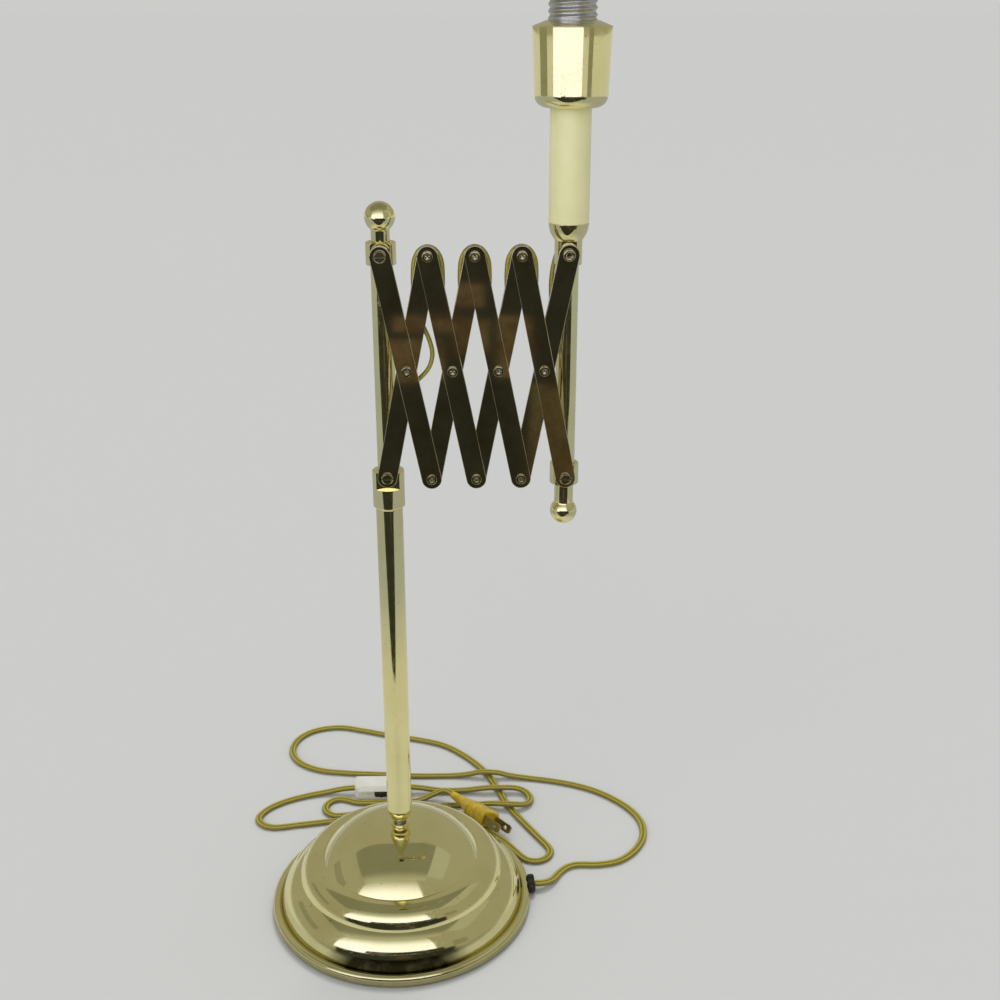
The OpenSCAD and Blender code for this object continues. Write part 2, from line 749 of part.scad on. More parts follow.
module cord_tail() {
    color(gold_cord) flat_cord(tail_route);
}

// Smallest gap between stretches of the flat cord that lie apart along it,
// measured on points a quarter of the way apart between the route's own
function finer(path) = [for (i = [0:len(path) - 2], k = [0:3]) path[i] + (path[i + 1] - path[i]) * k / 4];
function pair_gap(p, q) = max(norm([p[0] - q[0], p[1] - q[1]]) - cord_w, abs(p[2] - q[2]) - cord_t);
function least_gap(a, b, skip) =
    min([for (i = [0:len(a) - 1], j = [0:len(b) - 1]) if (j > i + skip) pair_gap(a[i], b[j])]);
echo(
    lead_gap = least_gap(finer(lead_route), finer(lead_route), 12),
    tail_gap = least_gap(finer(tail_route), finer(tail_route), 12),
    both_gap = least_gap(finer(lead_route), finer(tail_route), -1000));

// ---- Switch on the cord ----
wheel_r = wheel_d / 2;
wheel_h = 4.2;
wheel_low = switch_z - wheel_h / 2;
axle_r = 1.5;
switch_screw_x = 15;

// The housing's outline from above, cut by its outline from the end
module switch_block(low, high) {
    half = switch_len / 2;
    w = switch_w / 2;
    bevel = 3.5;
    intersection() {
        translate([0, 0, low]) linear_extrude(high - low) polygon([
            [-half, -w + bevel], [-half + bevel, -w], [half - bevel, -w], [half, -w + bevel],
            [half, w - bevel], [half - bevel, w], [-half + bevel, w], [-half, w - bevel]]);
        rotate([90, 0, 90]) linear_extrude(switch_len + 2, center = true) polygon([
            [-w + 1, 0], [w - 1, 0], [w, 1], [w, switch_h - 3], [w - 3, switch_h],
            [-w + 3, switch_h], [-w, switch_h - 3], [-w, 1]]);
    }
}

module wheel_room() {
    translate([0, 0, wheel_low - face_gap]) cylinder(h = wheel_h + 2 * face_gap, r = wheel_r + face_gap);
}

module at_switch() {
    translate([switch_x, switch_y, 0]) children();
}

module switch_lower() {
    color("#dcdacb") at_switch() {
        difference() {
            switch_block(0, switch_z);
            wheel_room();
            translate([switch_screw_x, 0, 2]) cylinder(h = switch_h, r = 1.2 + snug_gap);
        }
        translate([0, 0, wheel_low - face_gap]) cylinder(h = wheel_h + 2 * face_gap, r = axle_r);
    }
}

module switch_cover() {
    color("#dcdacb") at_switch() difference() {
        switch_block(switch_z, switch_h);
        wheel_room();
        translate([switch_screw_x, 0, 0]) cylinder(h = switch_h + 1, r = 1.2 + snug_gap);
        translate([switch_screw_x, 0, switch_h - 1.6]) cylinder(h = 3, r = 2.4);
    }
}

module switch_screw() {
    color(aluminium) at_switch() translate([switch_screw_x, 0, 0]) {
        translate([0, 0, 2]) cylinder(h = switch_h - 3.5, r = 1.2);
        translate([0, 0, switch_h - 1.6]) cylinder(h = 1.2, r = 2.2);
    }
}

// Thumbwheel whose edge shows on both long sides of the housing
module switch_wheel() {
    grip_count = 18;
    color("#2a261d") at_switch() translate([0, 0, wheel_low]) difference() {
        cylinder(h = wheel_h, r = wheel_r);
        translate([0, 0, -1]) cylinder(h = wheel_h + 2, r = axle_r + run_gap);
        for (i = [0:grip_count - 1]) rotate([0, 0, 360 / grip_count * i])
            translate([wheel_r + 0.4, 0, -1]) cylinder(h = wheel_h + 2, r = 1, $fn = 16);
    }
}

// ---- Plug ----
plug_w = 20;
plug_t = 13;
plug_len = 26;
plug_round = 3.5;
tail_r = 3.3;
blade_w = 6.3;
blade_t = 1.5;
blade_apart = 12.7;
blade_in = 8;

// Own frame: +X along the blades from the front face, Y across both blades
module at_plug() {
    translate(plug_at) rotate([0, 0, plug_way]) rotate([plug_roll, 0, 0]) children();
}

module blade(play) {
    translate([0, 0, 0]) rotate([90, 0, 0]) linear_extrude(blade_t + 2 * play, center = true) polygon([
        [-blade_in - play, -blade_w / 2 - play], [blade_len - 2, -blade_w / 2 - play],
        [blade_len, 1 - blade_w / 2], [blade_len, blade_w / 2 - 1],
        [blade_len - 2, blade_w / 2 + play], [-blade_in - play, blade_w / 2 + play]]);
}

module plug_body() {
    x_front = -plug_round;
    x_back = plug_round - plug_len;
    color("#b8922a") at_plug() difference() {
        hull() {
            for (y = [-1, 1], z = [-1, 1]) {
                translate([x_front, y * (plug_w / 2 - plug_round), z * (plug_t / 2 - plug_round)])
                    rotate([0, 90, 0]) cylinder(h = plug_round, r = plug_round, $fn = 20);
                translate([x_back, y * (plug_w / 2 - 2 - plug_round), z * (plug_t / 2 - 1 - plug_round)])
                    sphere(r = plug_round, $fn = 16);
            }
            translate([-plug_back, 0, 0]) rotate([0, 90, 0]) cylinder(h = 4, r = tail_r, $fn = 20);
        }
        for (side = [-1, 1]) translate([0, side * blade_apart / 2, 0]) blade(snug_gap);
    }
}

module plug_blades() {
    color(brass) at_plug() for (side = [-1, 1]) translate([0, side * blade_apart / 2, 0]) difference() {
        blade(0);
        translate([blade_len - 5.5, 0, 0]) rotate([90, 0, 0]) cylinder(h = 4, r = 1.6, center = true);
    }
}

// ---- The lamp ----
base_shell();
base_weight();
felt_pad();
base_nipple();
base_locknut();
base_nut();
base_washer();
strain_relief();
cord_inner();
post();
mast_fitting();
left_rail();
left_finial();
pivot_screw();
for (i = [1:4]) {
    link_back(i);
    link_front(i);
    rivets(i);
}
left_collar();
left_collar_screw();
right_collar();
right_collar_screw();
right_fitting();
pivot_eyelet();
right_rail();
right_finial();
stem_tube();
stem_plug();
cup_nipple();
cup_nut();
socket_cup();
socket_lid();
socket_body();
screw_shell();
centre_contact();
for (i = [1:9]) arm_cord(i);
cord_lead();
cord_tail();
switch_lower();
switch_cover();
switch_screw();
switch_wheel();
plug_body();
plug_blades();
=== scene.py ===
import json
import math
import bmesh
import bpy
from mathutils import Matrix, Vector

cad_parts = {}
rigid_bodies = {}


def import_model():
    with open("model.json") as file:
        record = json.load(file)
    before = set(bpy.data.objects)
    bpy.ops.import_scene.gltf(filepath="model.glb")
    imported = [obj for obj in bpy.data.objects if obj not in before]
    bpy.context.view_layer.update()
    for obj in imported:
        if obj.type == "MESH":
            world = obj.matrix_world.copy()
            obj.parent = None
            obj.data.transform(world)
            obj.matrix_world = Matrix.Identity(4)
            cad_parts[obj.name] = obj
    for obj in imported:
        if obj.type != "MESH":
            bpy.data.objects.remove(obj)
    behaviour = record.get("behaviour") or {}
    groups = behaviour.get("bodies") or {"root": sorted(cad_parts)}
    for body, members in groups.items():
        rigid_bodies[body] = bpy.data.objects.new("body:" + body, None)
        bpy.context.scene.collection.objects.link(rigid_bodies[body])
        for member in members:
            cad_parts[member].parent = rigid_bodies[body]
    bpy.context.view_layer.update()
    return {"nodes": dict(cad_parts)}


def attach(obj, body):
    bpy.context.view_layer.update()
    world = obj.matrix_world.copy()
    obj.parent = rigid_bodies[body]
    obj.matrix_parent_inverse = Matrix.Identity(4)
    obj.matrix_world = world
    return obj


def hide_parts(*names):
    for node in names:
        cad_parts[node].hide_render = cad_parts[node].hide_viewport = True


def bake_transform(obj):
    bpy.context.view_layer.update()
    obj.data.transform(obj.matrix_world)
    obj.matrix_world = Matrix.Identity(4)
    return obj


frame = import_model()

nodes = frame["nodes"]
mm = 0.001

# Helpers

def srgb(code):
    parts = [int(code[i:i + 2], 16) / 255 for i in (1, 3, 5)]
    return tuple(p / 12.92 if p <= 0.04045 else ((p + 0.055) / 1.055) ** 2.4 for p in parts) + (1.0,)


def per(size):  # texture scale that repeats about once in this many millimetres
    return 1 / (size * mm)


def addNode(tree, kind, inputs=None, **settings):
    node = tree.nodes.new("ShaderNode" + kind)
    for name, value in settings.items():
        setattr(node, name, value)
    for key, value in (inputs or {}).items():
        if isinstance(value, bpy.types.NodeSocket):
            tree.links.new(value, node.inputs[key])
        else:
            node.inputs[key].default_value = value
    return node


def startMaterial(name, values):
    material = bpy.data.materials.new(name)
    material.use_nodes = True
    tree = material.node_tree
    tree.nodes.clear()
    shader = addNode(tree, "BsdfPrincipled", values)
    addNode(tree, "OutputMaterial", {"Surface": shader.outputs[0]})
    return material, tree, shader


def makePiece(name, shells, material, body=None, replaced=(), sharp=32):
    verts, faces, uvs = [], [], []
    for shell in shells:
        faces += [tuple(len(verts) + i for i in face) for face in shell[1]]
        verts += [tuple(c * mm for c in v) for v in shell[0]]
        uvs += shell[2] if len(shell) > 2 else [(0, 0)] * len(shell[0])
    mesh = bpy.data.meshes.new(name)
    mesh.from_pydata(verts, [], faces)
    layer = mesh.uv_layers.new(name="UVMap")
    for loop in mesh.loops:
        layer.data[loop.index].uv = uvs[loop.vertex_index]
    return finishPiece(name, mesh, material, body, replaced, sharp)


def finishPiece(name, mesh, material, body, replaced, sharp):
    shape = bmesh.new()
    shape.from_mesh(mesh)
    bmesh.ops.remove_doubles(shape, verts=shape.verts, dist=1e-6)
    bmesh.ops.recalc_face_normals(shape, faces=shape.faces)
    shape.to_mesh(mesh)
    shape.free()
    mesh.set_sharp_from_angle(angle=math.radians(sharp))
    for face in mesh.polygons:
        face.use_smooth = len(face.vertices) < 9  # big flat faces mirror as flat
    mesh.materials.clear()
    mesh.materials.append(material)
    piece = bpy.data.objects.new(name, mesh)
    bpy.context.scene.collection.objects.link(piece)
    if body:
        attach(piece, body)
    if replaced:
        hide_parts(*replaced)
    return piece


def bodyOf(node):
    return nodes[node].parent.name.split(":", 1)[1]


def slotOf(node):
    return nodes[node].material_slots[0].material.name.split(".")[0]


def dress(node, shells, sharp=32, look=None):
    # A finer piece in a solid's place, on its body and with its finish
    slot = slots[node]
    return makePiece(node + "_dressed", shells, look or finish[slot], bodyOf(node), [node], sharp)


def bevelledCopy(node, width, look=None, sharp=40):
    # The solid's own shape with its hard edges broken
    flat, hard = math.radians(1), math.radians(35)
    shape = bmesh.new()
    shape.from_mesh(nodes[node].data)
    bmesh.ops.remove_doubles(shape, verts=shape.verts, dist=2e-6)
    bmesh.ops.dissolve_limit(shape, angle_limit=flat, verts=shape.verts, edges=shape.edges)
    edges = [e for e in shape.edges if len(e.link_faces) == 2 and e.calc_face_angle() > hard]
    bmesh.ops.bevel(shape, geom=edges, offset=width * mm, segments=2, profile=0.5, affect="EDGES",
                    clamp_overlap=True)
    mesh = bpy.data.meshes.new(node + "_eased")
    shape.to_mesh(mesh)
    shape.free()
    slot = slots[node]
    return finishPiece(node + "_eased", mesh, look or finish[slot], bodyOf(node), [node], sharp)


def arcPoints(start, end, turn, steps, depth=0):
    # An arc that bulges to the right of the way from start to end
    a, b = Vector(start), Vector(end)
    way = math.atan2(b.y - a.y, b.x - a.x)
    half = math.radians(turn) / 2
    radius = (b - a).length / 2 / math.sin(half)
    centre = (a + b) / 2 + radius * math.cos(half) * Vector((-math.sin(way), math.cos(way)))
    angles = [way - math.pi / 2 - half + 2 * half * i / steps for i in range(steps + 1)]
    return [(centre.x + (radius - depth) * math.cos(t), centre.y + (radius - depth) * math.sin(t))
            for t in angles]


def softened(outline, size):
    # Hard corners of a closed outline become small rounds
    nearlyStraight = math.radians(155)
    result = []
    for i, here in enumerate(outline):
        corner = Vector(here)
        back, on = Vector(outline[i - 1]) - corner, Vector(outline[(i + 1) % len(outline)]) - corner
        if here[0] <= 0 or min(back.length, on.length) < 1e-4 or back.angle(on) > nearlyStraight:
            result.append(tuple(here))
            continue
        reach = min(size, back.length / 2.2, on.length / 2.2)
        start, end = corner + back.normalized() * reach, corner + on.normalized() * reach
        result += [tuple(start * (1 - t) ** 2 + corner * 2 * t * (1 - t) + end * t * t)
                   for t in (0, 0.25, 0.5, 0.75, 1)]
    return result


def turnedShell(outline, x=0, z=0, along="z", segments=96, shape=None):
    # A closed outline of (radius, height) turned about an axis through x
    verts, faces, n = [], [], len(outline)
    for k in range(segments):
        angle = math.tau * (k + 0.5) / segments
        for radius, height in outline:
            spot = (radius * math.cos(angle), radius * math.sin(angle), height)
            spot = shape(*spot) if shape else spot
            verts.append((x + spot[0], spot[1], z + spot[2]) if along == "z"
                         else (x + spot[0], -spot[2], z + spot[1]))
    onAxis = outline[0][0] <= 0 and outline[-1][0] <= 0
    for k in range(segments):
        a, b = k * n, (k + 1) % segments * n
        faces += [(a + j, a + (j + 1) % n, b + (j + 1) % n, b + j) for j in range(n - 1 if onAxis else n)]
    return verts, faces


# Camera, at the photograph's place

cameraPlace = {"at": (0.04969, -0.73027, 0.58354), "down": 21.23, "right": 1.483, "lens": 45.48, "sensor": 36}


def makeCamera():
    data = bpy.data.cameras.new("camera")
    data.lens = cameraPlace["lens"]
    data.sensor_width = cameraPlace["sensor"]
    camera = bpy.data.objects.new("camera", data)
    camera.location = cameraPlace["at"]
    camera.rotation_euler = (math.radians(90 - cameraPlace["down"]), 0, -math.radians(cameraPlace["right"]))
    bpy.context.scene.collection.objects.link(camera)
    bpy.context.scene.camera = camera


makeCamera()
print("camera placed")

# Materials

def noise(tree, place, size, detail, extra=None):  # size in millimetres
    inputs = {"Vector": place, "Scale": per(size), "Detail": detail, **(extra or {})}
    return addNode(tree, "TexNoise", inputs).outputs[0]


def drawnNoise(tree, place, scale):  # its own scale along each axis
    stretch = addNode(tree, "Mapping", {"Vector": place, "Scale": scale}).outputs[0]
    return addNode(tree, "TexNoise", {"Vector": stretch, "Scale": 1.0, "Detail": 3.0}).outputs[0]


def mapped(tree, value, taken=(0, 1), given=(0, 1), **settings):
    inputs = {"Value": value, "From Min": taken[0], "From Max": taken[1], "To Min": given[0],
              "To Max": given[1]}
    return addNode(tree, "MapRange", inputs, **settings).outputs[0]


def tinted(tree, share, first, second):  # each colour a hex text or a value
    first, second = (srgb(c) if isinstance(c, str) else c for c in (first, second))
    return addNode(tree, "Mix", {0: share, 6: first, 7: second}, data_type="RGBA").outputs[2]


def worked(tree, operation, *values):
    return addNode(tree, "Math", dict(enumerate(values)), operation=operation).outputs[0]


def dented(tree, height, strength, deep, under=None, **settings):  # deep in millimetres
    inputs = {"Height": height, "Strength": strength, "Distance": deep * mm}
    if under is not None:
        inputs["Normal"] = under
    return addNode(tree, "Bump", inputs, **settings).outputs[0]


def connect(tree, shader, colour, gloss, relief):
    for socket, value in (("Base Color", colour), ("Roughness", gloss), ("Normal", relief)):
        if value is not None:
            tree.links.new(value, shader.inputs[socket])


def buffedBrass(name, spun=False):
    # Lacquered brass, buffed bright: a pale mirror with soft patches, hairlines and a few specks
    look = {"metal": "#F6EFB2", "aged": "#EADF9E", "speck": "#6B5A2E", "patch": 34, "smudge": 7, "hair": 16,
            "hairWide": 0.004, "grit": 1.6, "wave": 21, "waveDeep": 0.12 if spun else 0.04, "hairDeep": 0.02,
            "rough": (0.045, 0.15)}
    material, tree, shader = startMaterial(name, {"Metallic": 1.0})
    place = addNode(tree, "TexCoord").outputs["Object"]
    patch = noise(tree, place, look["patch"], 3.0)
    smudge = noise(tree, place, look["smudge"], 5.0)
    hair = noise(tree, place, look["hair"], 1.0, {"Distortion": 3.0})
    fromLine = worked(tree, "ABSOLUTE", worked(tree, "SUBTRACT", hair, 0.5))
    line = mapped(tree, fromLine, (0.0, look["hairWide"]), (1.0, 0.0))
    speck = mapped(tree, noise(tree, place, look["grit"], 1.0), (0.76, 0.8))
    metal = tinted(tree, mapped(tree, patch, (0.38, 0.72), (0, 0.75)), look["metal"], look["aged"])
    colour = tinted(tree, speck, metal, look["speck"])
    gloss = mapped(tree, smudge, (0.42, 0.75), look["rough"])
    relief = dented(tree, noise(tree, place, look["wave"], 0.0), 0.5, look["waveDeep"])
    if spun:
        colour, gloss, relief = spunWithPaintedShade(tree, place, smudge, colour, gloss, relief)
    connect(tree, shader, colour, gloss, dented(tree, line, 0.35, look["hairDeep"], relief, invert=True))
    return material


def spunWithPaintedShade(tree, place, smudge, colour, gloss, relief):
    # Faint rings from the spinning tool. The rim's lower edge is darker and duller, and a painted shade
    # darkens the groove, most at its front
    look = {"ring": 1.1, "ringDeep": 0.006, "edge": (7.4, 5.0), "edgeShare": 0.62, "groove": 82.4,
            "beside": (1.3, 2.2), "front": (-68, -77), "awayShare": 0.2, "tarnish": "#35301C", "dull": 0.3}
    axes = addNode(tree, "SeparateXYZ", {0: place}).outputs
    square = worked(tree, "MULTIPLY_ADD", axes[1], axes[1], worked(tree, "MULTIPLY", axes[0], axes[0]))
    radius = worked(tree, "SQRT", square)
    ring = addNode(tree, "TexNoise", {"W": radius, "Scale": per(look["ring"]), "Detail": 2.0},
                   noise_dimensions="1D")
    relief = dented(tree, ring.outputs[0], 0.4, look["ringDeep"], relief)
    # Darker and duller below the rim's top
    edge = mapped(tree, axes[2], [z * mm for z in look["edge"]], (0, look["edgeShare"]))
    # Painted shade: the groove is darkened, most on the front side that faces the opening
    fromGroove = worked(tree, "ABSOLUTE", worked(tree, "SUBTRACT", radius, look["groove"] * mm))
    groove = mapped(tree, fromGroove, [r * mm for r in look["beside"]], (1.0, 0.0))
    front = mapped(tree, axes[1], [y * mm for y in look["front"]], (look["awayShare"], 1.0))
    share = worked(tree, "MAXIMUM", edge, worked(tree, "MULTIPLY", groove, front))
    share = worked(tree, "MULTIPLY", share, mapped(tree, smudge, (0.2, 0.55), (0.9, 1.0)))
    return (tinted(tree, share, colour, look["tarnish"]), mapped(tree, share, given=(gloss, look["dull"])),
            relief)


def rolledBrassBar():
    # Brass flat bar as rolled and hand buffed: a duller mirror with lengthwise grain and browned patches
    look = {"metal": "#DED6AA", "browned": "#B8A67C", "dull": "#8C8158", "grain": (0.22, 14), "patch": 17,
            "wave": 30, "waveDeep": 0.12, "grainDeep": 0.004, "rough": (0.03, 0.09)}
    material, tree, shader = startMaterial("rolled_brass_bar", {"Metallic": 1.0})
    place = addNode(tree, "TexCoord").outputs
    grain = drawnNoise(tree, place["UV"], (per(look["grain"][0]), per(look["grain"][1]), 1.0))
    patch = noise(tree, place["Object"], look["patch"], 4.0, {"Roughness": 0.6})
    metal = tinted(tree, mapped(tree, patch, (0.4, 0.68)), look["metal"], look["browned"])
    lined = tinted(tree, mapped(tree, grain, (0.35, 0.75), (0, 0.35)), metal, look["dull"])
    gloss = mapped(tree, patch, (0.3, 0.75), look["rough"])
    swell = dented(tree, noise(tree, place["Object"], look["wave"], 0.0), 0.4, look["waveDeep"])
    connect(tree, shader, lined, gloss, dented(tree, grain, 0.35, look["grainDeep"], swell))
    return material


def pressedFelt():
    # Pressed wool felt: matt, mottled, with a nap of fibres about 0.1 mm thick, drawn at 0.3 mm
    material, tree, shader = startMaterial("pressed_felt", {"Roughness": 0.95, "Sheen Weight": 0.4,
                                                            "Sheen Roughness": 0.5})
    place = addNode(tree, "TexCoord").outputs["Object"]
    fibre = noise(tree, place, 0.3, 3.0, {"Distortion": 1.5})
    tone = worked(tree, "MULTIPLY", fibre, noise(tree, place, 6, 2.0))
    connect(tree, shader, tinted(tree, tone, "#5C5646", "#8F876F"), None, dented(tree, fibre, 0.7, 0.2))
    return material


def zincSteel():
    # Zinc plated steel: grey and satin, with a crystal mottle
    material, tree, shader = startMaterial("zinc_plated_steel", {"Metallic": 1.0})
    place = addNode(tree, "TexCoord").outputs["Object"]
    bloom = addNode(tree, "TexVoronoi", {"Vector": place, "Scale": per(0.8)}).outputs["Distance"]
    connect(tree, shader, tinted(tree, bloom, "#A9A9A4", "#76756F"), mapped(tree, bloom, given=(0.28, 0.5)),
            dented(tree, bloom, 0.2, 0.02))
    return material


def goldCordVinyl():
    # Clear gold PVC over two bunches of copper strands: glossy, amber where it is thick, with the
    # twisted strands showing as finer, lighter stripes in the middle of each half
    look = {"edge": "#746A08", "middle": "#B7AA36", "strand": "#968A22", "dust": "#8A7A2C", "lay": 3.2,
            "lean": 14.0, "grime": 24, "fine": 3}
    material, tree, shader = startMaterial("clear_gold_pvc", {
        "IOR": 1.54, "Coat Weight": 0.5, "Coat Roughness": 0.12, "Subsurface Weight": 0.12,
        "Subsurface Radius": (1.0, 0.75, 0.2), "Subsurface Scale": 0.8 * mm})
    place = addNode(tree, "TexCoord").outputs
    axes = addNode(tree, "SeparateXYZ", {0: place["UV"]}).outputs
    # 0 at the outer edges and the groove, 1 in the middle of each half
    aside = worked(tree, "ABSOLUTE", worked(tree, "SUBTRACT", axes[0], 0.5))
    fromCore = worked(tree, "ABSOLUTE", worked(tree, "SUBTRACT", aside, 0.25))
    core = mapped(tree, fromCore, (0.06, 0.2), (1.0, 0.0), interpolation_type="SMOOTHSTEP")
    lean = worked(tree, "MULTIPLY", axes[0], look["lean"])
    turns = worked(tree, "MULTIPLY_ADD", axes[1], per(look["lay"]) * 6.28, lean)
    strand = mapped(tree, worked(tree, "SINE", turns), (-0.2, 1.0), (0, 0.55))
    seen = worked(tree, "MULTIPLY", strand, core)
    body = tinted(tree, core, look["edge"], look["middle"])
    wound = tinted(tree, seen, body, look["strand"])
    grime = noise(tree, place["Object"], look["grime"], 4.0)
    dimmed = tinted(tree, mapped(tree, grime, (0.45, 0.8), (0, 0.35)), wound, look["dust"])
    relief = dented(tree, noise(tree, place["Object"], look["fine"], 2.0), 0.3, 0.08)
    connect(tree, shader, dimmed, mapped(tree, grime, given=(0.22, 0.45)), relief)
    return material


def rolledAluminium():
    # Thin aluminium rolled into a thread: bright and slightly streaked round the shell
    material, tree, shader = startMaterial("rolled_aluminium", {"Metallic": 1.0})
    place = addNode(tree, "TexCoord").outputs["Object"]
    streak = drawnNoise(tree, place, (per(5), per(5), per(0.25)))
    gloss = mapped(tree, streak, given=(0.16, 0.34))
    connect(tree, shader, tinted(tree, streak, "#DEDFDC", "#B9BAB6"), gloss, dented(tree, streak, 0.2, 0.01))
    return material


def ivoryUrea():
    # Moulded urea plastic, once white: slightly yellowed, smooth, with faint flow marks and handling dirt
    look = {"clean": "#E8E6E0", "yellowed": "#D6D2C4", "dirt": "#9C9686", "flow": 13, "soil": 2.4}
    material, tree, shader = startMaterial("ivory_urea_moulded", {"IOR": 1.5})
    place = addNode(tree, "TexCoord").outputs["Object"]
    flow = noise(tree, place, look["flow"], 1.0)
    dirt = noise(tree, place, look["soil"], 6.0)
    plastic = tinted(tree, flow, look["clean"], look["yellowed"])
    soiled = tinted(tree, mapped(tree, dirt, (0.6, 0.85), (0, 0.5)), plastic, look["dirt"])
    connect(tree, shader, soiled, mapped(tree, dirt, given=(0.22, 0.5)), dented(tree, flow, 0.25, 0.1))
    return material


# The simpler finishes: shader values, the pattern's size and detail, how it shares the two colours,
# the roughness, and the strength and depth of the relief, which may have a grain of its own
handledLooks = {
    # Small turned parts, handled but not buffed: a satin yellow with dirt in the hollows
    "rivet_brass": ("turned_brass", {"Metallic": 1.0}, {
        "wear": (1.3, 4.0), "colours": ("#B5AC80", "#3F3824"), "share": ((0.46, 0.74), (0, 1)),
        "rough": ((0.35, 0.7), (0.1, 0.28)), "relief": (0.3, 0.03)}),
    # Stamped plug blade: flat satin yellow with rub marks along it
    "blade_brass": ("stamped_brass", {"Metallic": 1.0}, {
        "wear": (2.2, 4.0, {"Distortion": 0.6}), "colours": ("#C9BA80", "#8E8058"),
        "rough": ((0, 1), (0.18, 0.45)), "relief": (0.3, 0.02)}),
    # Sand cast iron, as cast: near black, rough to the touch
    "iron": ("cast_iron_raw", {"Metallic": 0.6, "Roughness": 0.75}, {
        "wear": (0.9, 4.0), "colours": ("#2B2926", "#4B4540"), "relief": (0.8, 0.25)}),
    # Moulded nylon: black, satin, with a fine mould grain and grey scuffs
    "black_nylon": ("black_nylon_moulded", {"IOR": 1.53}, {
        "wear": (2.5, 5.0), "colours": ("#14120E", "#3A362D"), "share": ((0.5, 0.75), (0, 0.5)),
        "rough": ((0, 1), (0.28, 0.5)), "grain": (0.35, 2.0), "relief": (0.3, 0.05)}),
    # Glazed electrical porcelain: creamy white, glossy, with a few iron specks
    "porcelain": ("glazed_porcelain", {"Coat Weight": 0.6, "Coat Roughness": 0.06, "IOR": 1.5}, {
        "wear": (0.8, 1.0), "colours": ("#E9E4D4", "#8A7B62"), "share": ((0.72, 0.8), (0, 0.6)),
        "rough": ((0, 1), (0.12, 0.28)), "relief": (0.2, 0.04)}),
    # Moulded phenolic: very dark brown, polished by fingers, with dust between the grips
    "brown_plastic": ("brown_phenolic_moulded", {"IOR": 1.6}, {
        "wear": (1.4, 4.0), "colours": ("#231A13", "#5B5044"), "share": ((0.5, 0.8), (0, 0.5)),
        "rough": ((0, 1), (0.2, 0.5)), "relief": (0.25, 0.04)}),
    # Clear amber PVC moulded round the wires: light gathers inside it, with paler flow streaks
    "amber_pvc": ("clear_amber_pvc", {
        "IOR": 1.54, "Coat Weight": 0.4, "Coat Roughness": 0.15, "Subsurface Weight": 0.25,
        "Subsurface Radius": (1.0, 0.8, 0.25), "Subsurface Scale": 2.5 * mm}, {
        "wear": (9, 2.0, {"Distortion": 0.3}), "colours": ("#C2A204", "#DCC42A"),
        "share": ((0.42, 0.72), (0, 1)), "rough": ((0, 1), (0.2, 0.42)), "relief": (0.3, 0.1)}),
    # Pale gold enamel, sprayed and stoved: smooth and satin with orange peel, and no mirror in it
    "sleeve": ("pale_gold_enamel", {"IOR": 1.5, "Coat Weight": 0.25, "Coat Roughness": 0.3}, {
        "wear": (14, 3.0), "colours": ("#F0ECB8", "#E2DDA0"), "rough": ((0, 1), (0.32, 0.5)),
        "grain": (1.8, 1.0), "relief": (0.2, 0.03)})}


def handledFinish(name, values, look):
    material, tree, shader = startMaterial(name, values)
    place = addNode(tree, "TexCoord").outputs["Object"]
    wear = noise(tree, place, *look["wear"])
    grain = noise(tree, place, *look["grain"]) if "grain" in look else wear
    share = mapped(tree, wear, *look["share"]) if "share" in look else wear
    gloss = mapped(tree, wear, *look["rough"]) if "rough" in look else None
    connect(tree, shader, tinted(tree, share, *look["colours"]), gloss, dented(tree, grain, *look["relief"]))
    return material


finish = {slot: handledFinish(*look) for slot, look in handledLooks.items()}
finish.update({
    "polished_brass": buffedBrass("lacquered_brass_buffed"), "link_brass": rolledBrassBar(),
    "felt": pressedFelt(), "steel": zincSteel(), "clear_gold_cord": goldCordVinyl(),
    "shell_aluminium": rolledAluminium(), "ivory_plastic": ivoryUrea()})
spunBrass = buffedBrass("lacquered_brass_spun", spun=True)

slots = {name: slotOf(name) for name in nodes}
for name, solid in nodes.items():
    for place in solid.material_slots:
        place.material = finish[place.material.name.split(".")[0]] if name != "base_shell" else spunBrass
print("materials made")

# Cords

cordSizes = {"width": 5.6, "thick": 2.8, "armWidth": 2.7, "floor": 1.5, "lowest": 1.44, "steps": 6}
# Routes in millimetres; a point of two numbers lies on the floor
leadRoute = [
    (93.58, 6.38, 5.2), (97.6, 6.7, 5), (101.4, 8, 4.6), (104.9, 10.9, 3.6), (108, 15.3, 2.4),
    (111.8, 21.8), (117.5, 27.8), (124.5, 31), (142, 31), (157, 35), (170, 47), (178, 63), (179, 81),
    (173, 97), (160, 113.5), (143, 127), (120, 137), (97, 143), (80, 145.5, 3), (70, 146.5, 5.2),
    (56, 147.5, 5.2), (46, 148, 3), (32, 148.5), (3, 149), (-27, 152), (-52, 154.5), (-76, 159.5),
    (-93, 171), (-101, 188), (-98, 207), (-86, 220), (-65, 225), (-43, 219), (-18, 210), (6, 203),
    (26, 194), (44, 177), (60, 154), (70, 129), (78, 105), (98.5, 66), (105.6, 53), (107, 47.5),
    (105.5, 41.8), (101.3, 37.5), (95.5, 36), (89.8, 37.5), (86, 41), (81, 48.5), (72, 61.5), (57, 76),
    (40, 86), (22, 92.5), (3, 94.5), (-40, 91.6), (-84, 84.6), (-102, 82), (-111, 86), (-115, 94),
    (-111, 104), (-100, 114), (-84, 122), (-66, 126.5, 2.6), (-52, 127, 5.2), (-43, 127, 5.9)]
